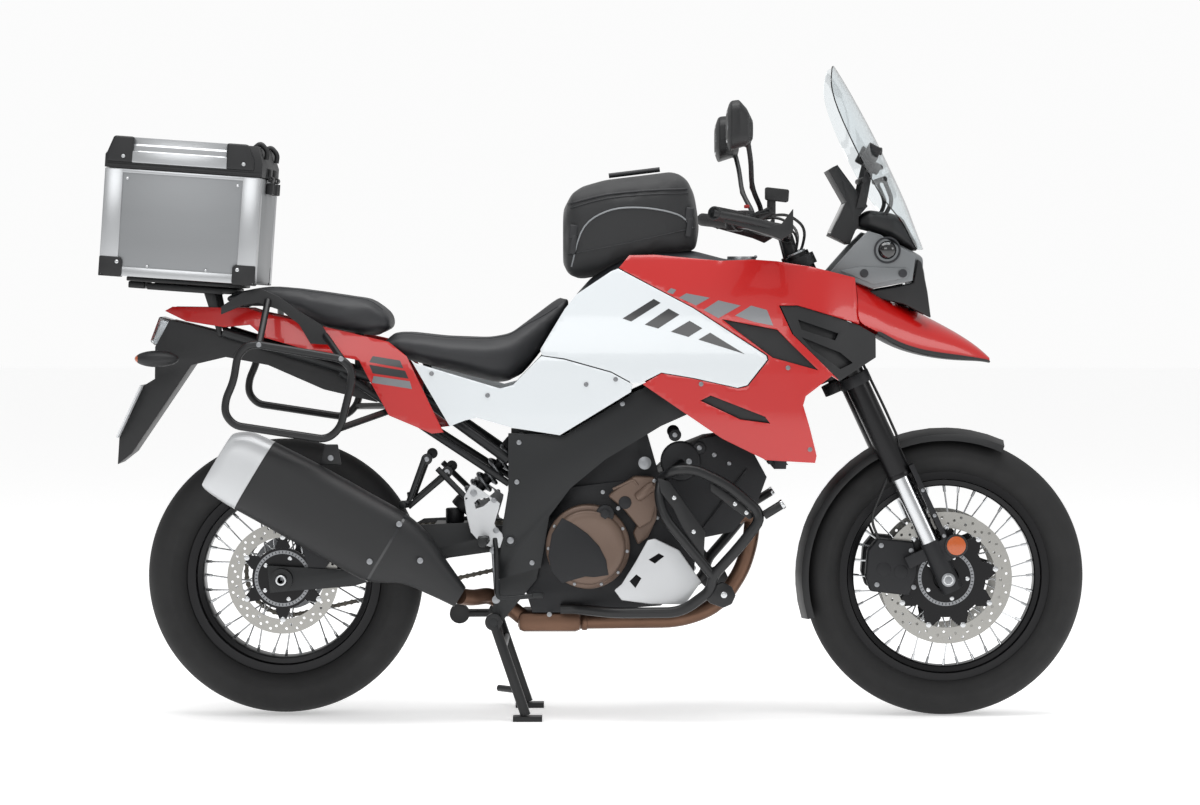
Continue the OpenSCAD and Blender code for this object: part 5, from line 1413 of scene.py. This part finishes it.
pattern = [link(6.7), link(4.6)]
links = []
spots = chain_points(PITCH)
for k, (a, b) in enumerate(zip(spots, spots[1:] + spots[:1])):
    piece = duplicate(pattern[k % 2])
    lean = math.atan2(b[1] - a[1], b[0] - a[0])
    piece.data.transform(Matrix.Translation((a[0] * MM, 0, a[1] * MM)) @ Matrix.Rotation(-lean, 4, "Y"))
    links.append(piece)
for piece in pattern:
    bpy.data.objects.remove(piece)
ride(joined(links, "chain_links", chain_steel, 35), "chassis", "chain", "drive_chain")
toothed = spun([(20, 85.2), (88, 85.2), (88, 92.8), (20, 92.8)], REAR, 96)
toothed = drill(toothed, [across(*polar(REAR, 62, 60 * i, 89)[::2], 15, 70, 100, 32) for i in range(6)])
carrier = spun([(18, 58.6), (46, 58.6), (46, 85.2), (18, 85.2)], REAR, 64)
ride(joined([toothed, carrier], "rear_sprocket", steel_dull, 35), "rear_wheel", "disc_steel", "sprocket")
ride(settle(rounded_copy("rear_caliper", 4, 3), "rear_brake_caliper", cast_black, 40), "chassis",
    "plastic_black", "rear_caliper")
print("chain links", len(spots))

# %% Footrests
HANGER = [(-292, 555), (-284, 553), (-224, 511), (-226, 500), (-237, 464), (-234, 456), (-219, 440),
    (-217, 430), (-224, 407), (-240, 407),
    (-258, 413), (-280, 430), (-292, 443), (-302, 482), (-308, 525)]
plates, darks, studs = [], [], []
for y in (-1, 1):
    hanger = plate(HANGER, *sorted((y * 150.4, y * 157.9)), 2, 3)
    slot = plate([(-284, 512), (-276, 520), (-250, 526), (-246, 518), (-262, 504), (-280, 498)],
        *sorted((y * 140, y * 170)), 0)
    plates.append(drill(hanger, [slot]))
    studs += screw((-285, y * 157.9, 535), 8, 2.6, y) + screw((-238, y * 157.9, 518), 6, 2.6,
        y) + screw((-233, y * 157.9, 448), 7, 2.6, y)
    darks += [rod((-258, y * 157, 426), (-262, y * 240, 426), 10.9, 24, None, 2)]
    darks += [block((-261, y * (178 + 9 * i), 433), (25, 4, 7), (0, 0, 0), 1) for i in range(7)]
    darks += [tube([(-236, y * 155, 428), (-232, y * 174, 396), (-230, y * 180, 290), (-130, y * 190, 300)],
        5.9, 20)]
    darks += [block((-136, y * 192, 300), (26, 12, 13), (0, 0, 0), 3)]
    darks += [rod((-401, y * 131, 612), (-440, y * 131, 506), 7, 16, 6),
        rod((-345, y * 131, 580), (-438, y * 131, 500), 7, 16, 6)]
    darks += [across(-395, 612, 13, *sorted((y * 128.2, y * 133.9)), 24, 1),
        across(-348, 582, 13, *sorted((y * 128.2, y * 133.9)), 24, 1)]
    darks += [rod((-440, y * 133, 508), (-450, y * 175.8, 508), 9, 20, None, 2),
        block((-446, y * 158, 514), (22, 30, 5), (0, 0, 0), 1)]
    darks += [rod((-370, y * 133, 590), (-300, y * 152, 520), 6.9, 20)]
    studs += screw((-348, y * 134, 582), 7, 3, y) + screw((-395, y * 134, 612), 6, 3, y)
ride(joined(plates, "footrest_hangers", alloy_painted, 35), "chassis", "footrest_silver", "footrests")
ride(joined(darks, "footrests_and_pedals", frame_paint, 40), "chassis", "frame_black")
link = [rod((-240, -166, 400), (-233, -166, 291), 4, 16), across(-240, 402, 8, -170, -158, 24, 1),
    across(-233, 288, 9.5, -172, -162, 24, 1)]
ride(joined(studs + link, "footrest_bolts", steel_dull, 35), "chassis", "axle_steel")

# %% Stands, pannier frames and grab rails
ride(settle(rounded_copy("centre_stand", 2, 3), "centre_stand_legs", powder_black, 40), "centre_stand",
    "frame_black", "centre_stand")
ride(settle(rounded_copy("side_stand", 2, 2), "side_stand_leg", powder_black, 40), "side_stand",
    "frame_black", "side_stand")


def loop_route(y, lift):
    return [(x, y, z + lift) for x, z in ((-830, 796), (-820, 858), (-796, 880), (-771, 881), (-583, 849),
        (-560, 826), (-560, 794),
        (-586, 690), (-617, 664), (-828, 696), (-850, 722), (-848, 756))]


LOOP_Y = 262
LEFT_LOOP_LIFT = 30
loops, bolts = [], []
for y, lift in ((-1, 0), (1, LEFT_LOOP_LIFT)):
    loops.append(tube(loop_route(y * LOOP_Y, lift), 8.95, 24, True, 6))
    ends = (((-771, 881), (-760, 154, 987)), ((-583, 849), (-630, 154, 902)), ((-586, 690), (-470, 97, 728)))
    for (x, z), (ex, ey, ez) in ends:
        start, end = Vector((x, y * LOOP_Y, z + lift)), Vector((ex, y * ey, ez))
        stop = start.lerp(end, 0.94 if ey == 154 else 0.965)
        loops.append(rod(start, stop, 7.9, 24))
    bolts += screw((-771, y * 270, 881 + lift), 6, 1, y) + screw((-583, y * 270, 849 + lift), 6, 1, y)
ride(joined(loops, "pannier_tubes", powder_black, 40), "chassis", "tube_black", "pannier_frames")
ride(joined(bolts, "pannier_bolts", steel_dull, 35), "chassis", "axle_steel")
ride(settle(rounded_copy("grab_rails", 6, 4), "grab_handles", moulded_black, 40), "chassis", "frame_black",
    "grab_rails")

# %% Rear mudguard, lights and plate
ride(settle(rounded_copy("rear_fender", 4, 3), "rear_mudguard", moulded_black, 40), "chassis",
    "plastic_black", "rear_fender")
ride(settle(rounded_copy("number_plate", 1, 2), "blank_plate", plate_white, 40), "chassis", "plate",
    "number_plate")
LENS = [(-1001, 935), (-1035.6, 873.5), (-1049, 884), (-1027, 943)]
ride(settle(plate(LENS, -45.8, 45.8, 4, 3), "tail_lens", lens_clear, 40), "chassis", "lens")
mirror_box = plate([(-1003, 931), (-1034, 877), (-1042, 883), (-1023, 936)], -43, 43, 2)
ride(settle(mirror_box, "tail_reflector", alloy_silver, 40), "chassis", "lens")
ride(settle(plate([(-1024, 934), (-1043, 886), (-1045, 887), (-1026, 936)], -40, 40, 0.5),
    "tail_red_filter", red_lens, 40), "chassis", "lens")
blinkers, bulbs = [], []
for y in (-1, 1):
    deselect()
    bpy.ops.mesh.primitive_uv_sphere_add(segments=40, ring_count=24, radius=1,
        location=(-1016 * MM, y * 176.8 * MM, 846.5 * MM))
    bpy.context.object.scale = (0.051, 0.0266, 0.0192)
    blinkers.append(bpy.context.object)
ride(joined(blinkers, "rear_indicators", moulded_black, 60), "chassis", "plastic_black", "rear_lights")
for y in (-1, 1):
    deselect()
    bpy.ops.mesh.primitive_uv_sphere_add(segments=40, ring_count=24, radius=1,
        location=(-1028 * MM, y * 176.8 * MM, 846.5 * MM))
    bpy.context.object.scale = (0.0395, 0.023, 0.0165)
    bulbs.append(bpy.context.object)
ride(joined(bulbs, "indicator_lenses", lens_amber, 60), "chassis", "lens")
cup = [rod((-1012, y * 140, 846), (-1013, y * 156, 846), 11, 24, 15, 2) for y in (-1, 1)]
ride(joined(cup, "indicator_stalks", moulded_black, 40), "chassis", "plastic_black")
ride(settle(rounded_copy("fuel_cap", 2, 3), "filler_cap_disc", alloy_silver, 35), "filler_cap", "cap_alu",
    "fuel_cap")
print("back end made")

# %% [markdown]
# ## The studio
# One broad lamp overhead, one from the right side, a small one in front, and an even white surround.

# %% Floor and lights
deselect()
bpy.ops.mesh.primitive_plane_add(size=60, location=(0, 0, 0))
floor = bpy.context.object
floor.name = "studio_floor"
floor_finish, _, shader, _ = new_material("lit_studio_floor", "#ffffff", 0.9)
shader.inputs["Emission Color"].default_value = colour("#ffffff")
shader.inputs["Emission Strength"].default_value = 0.4
floor.data.materials.append(floor_finish)


def lamp(name, place, target, size, watts, size_y=None):
    light = bpy.data.objects.new(name, bpy.data.lights.new(name, "AREA"))
    bpy.context.scene.collection.objects.link(light)
    light.data.shape = "RECTANGLE"
    light.data.size, light.data.size_y = size, size_y or size
    light.data.energy = watts
    light.location = place
    light.rotation_euler = (Vector(target) - Vector(place)).to_track_quat("-Z", "Y").to_euler()
    return light


lamp("top_softbox", (0, -0.4, 4.2), (0, 0, 0.5), 4.5, 135, 2.6)
lamp("side_softbox", (-1.5, -6.5, 3.4), (0, 0, 0.7), 3.5, 62, 2.2)
lamp("front_softbox", (5.5, -2.5, 2.6), (0.3, 0, 0.7), 2.2, 34, 1.6)
world = bpy.data.worlds.new("white_surround")
bpy.context.scene.world = world
world.use_nodes = True
world.node_tree.nodes["Background"].inputs["Color"].default_value = colour("#ffffff")
# The surround is plain white to the eye and through glass, and a softer light on everything else
seen = add_node(world.node_tree, "ShaderNodeLightPath")
straight = add_node(world.node_tree, "ShaderNodeMath", {"operation": "MAXIMUM"})
world.node_tree.links.new(seen.outputs["Is Camera Ray"], straight.inputs[0])
world.node_tree.links.new(seen.outputs["Is Transmission Ray"], straight.inputs[1])
strength = add_node(world.node_tree, "ShaderNodeMapRange", None, {"To Min": 0.55, "To Max": 0.97},
    {"Value": straight.outputs[0]})
world.node_tree.links.new(strength.outputs[0], world.node_tree.nodes["Background"].inputs["Strength"])
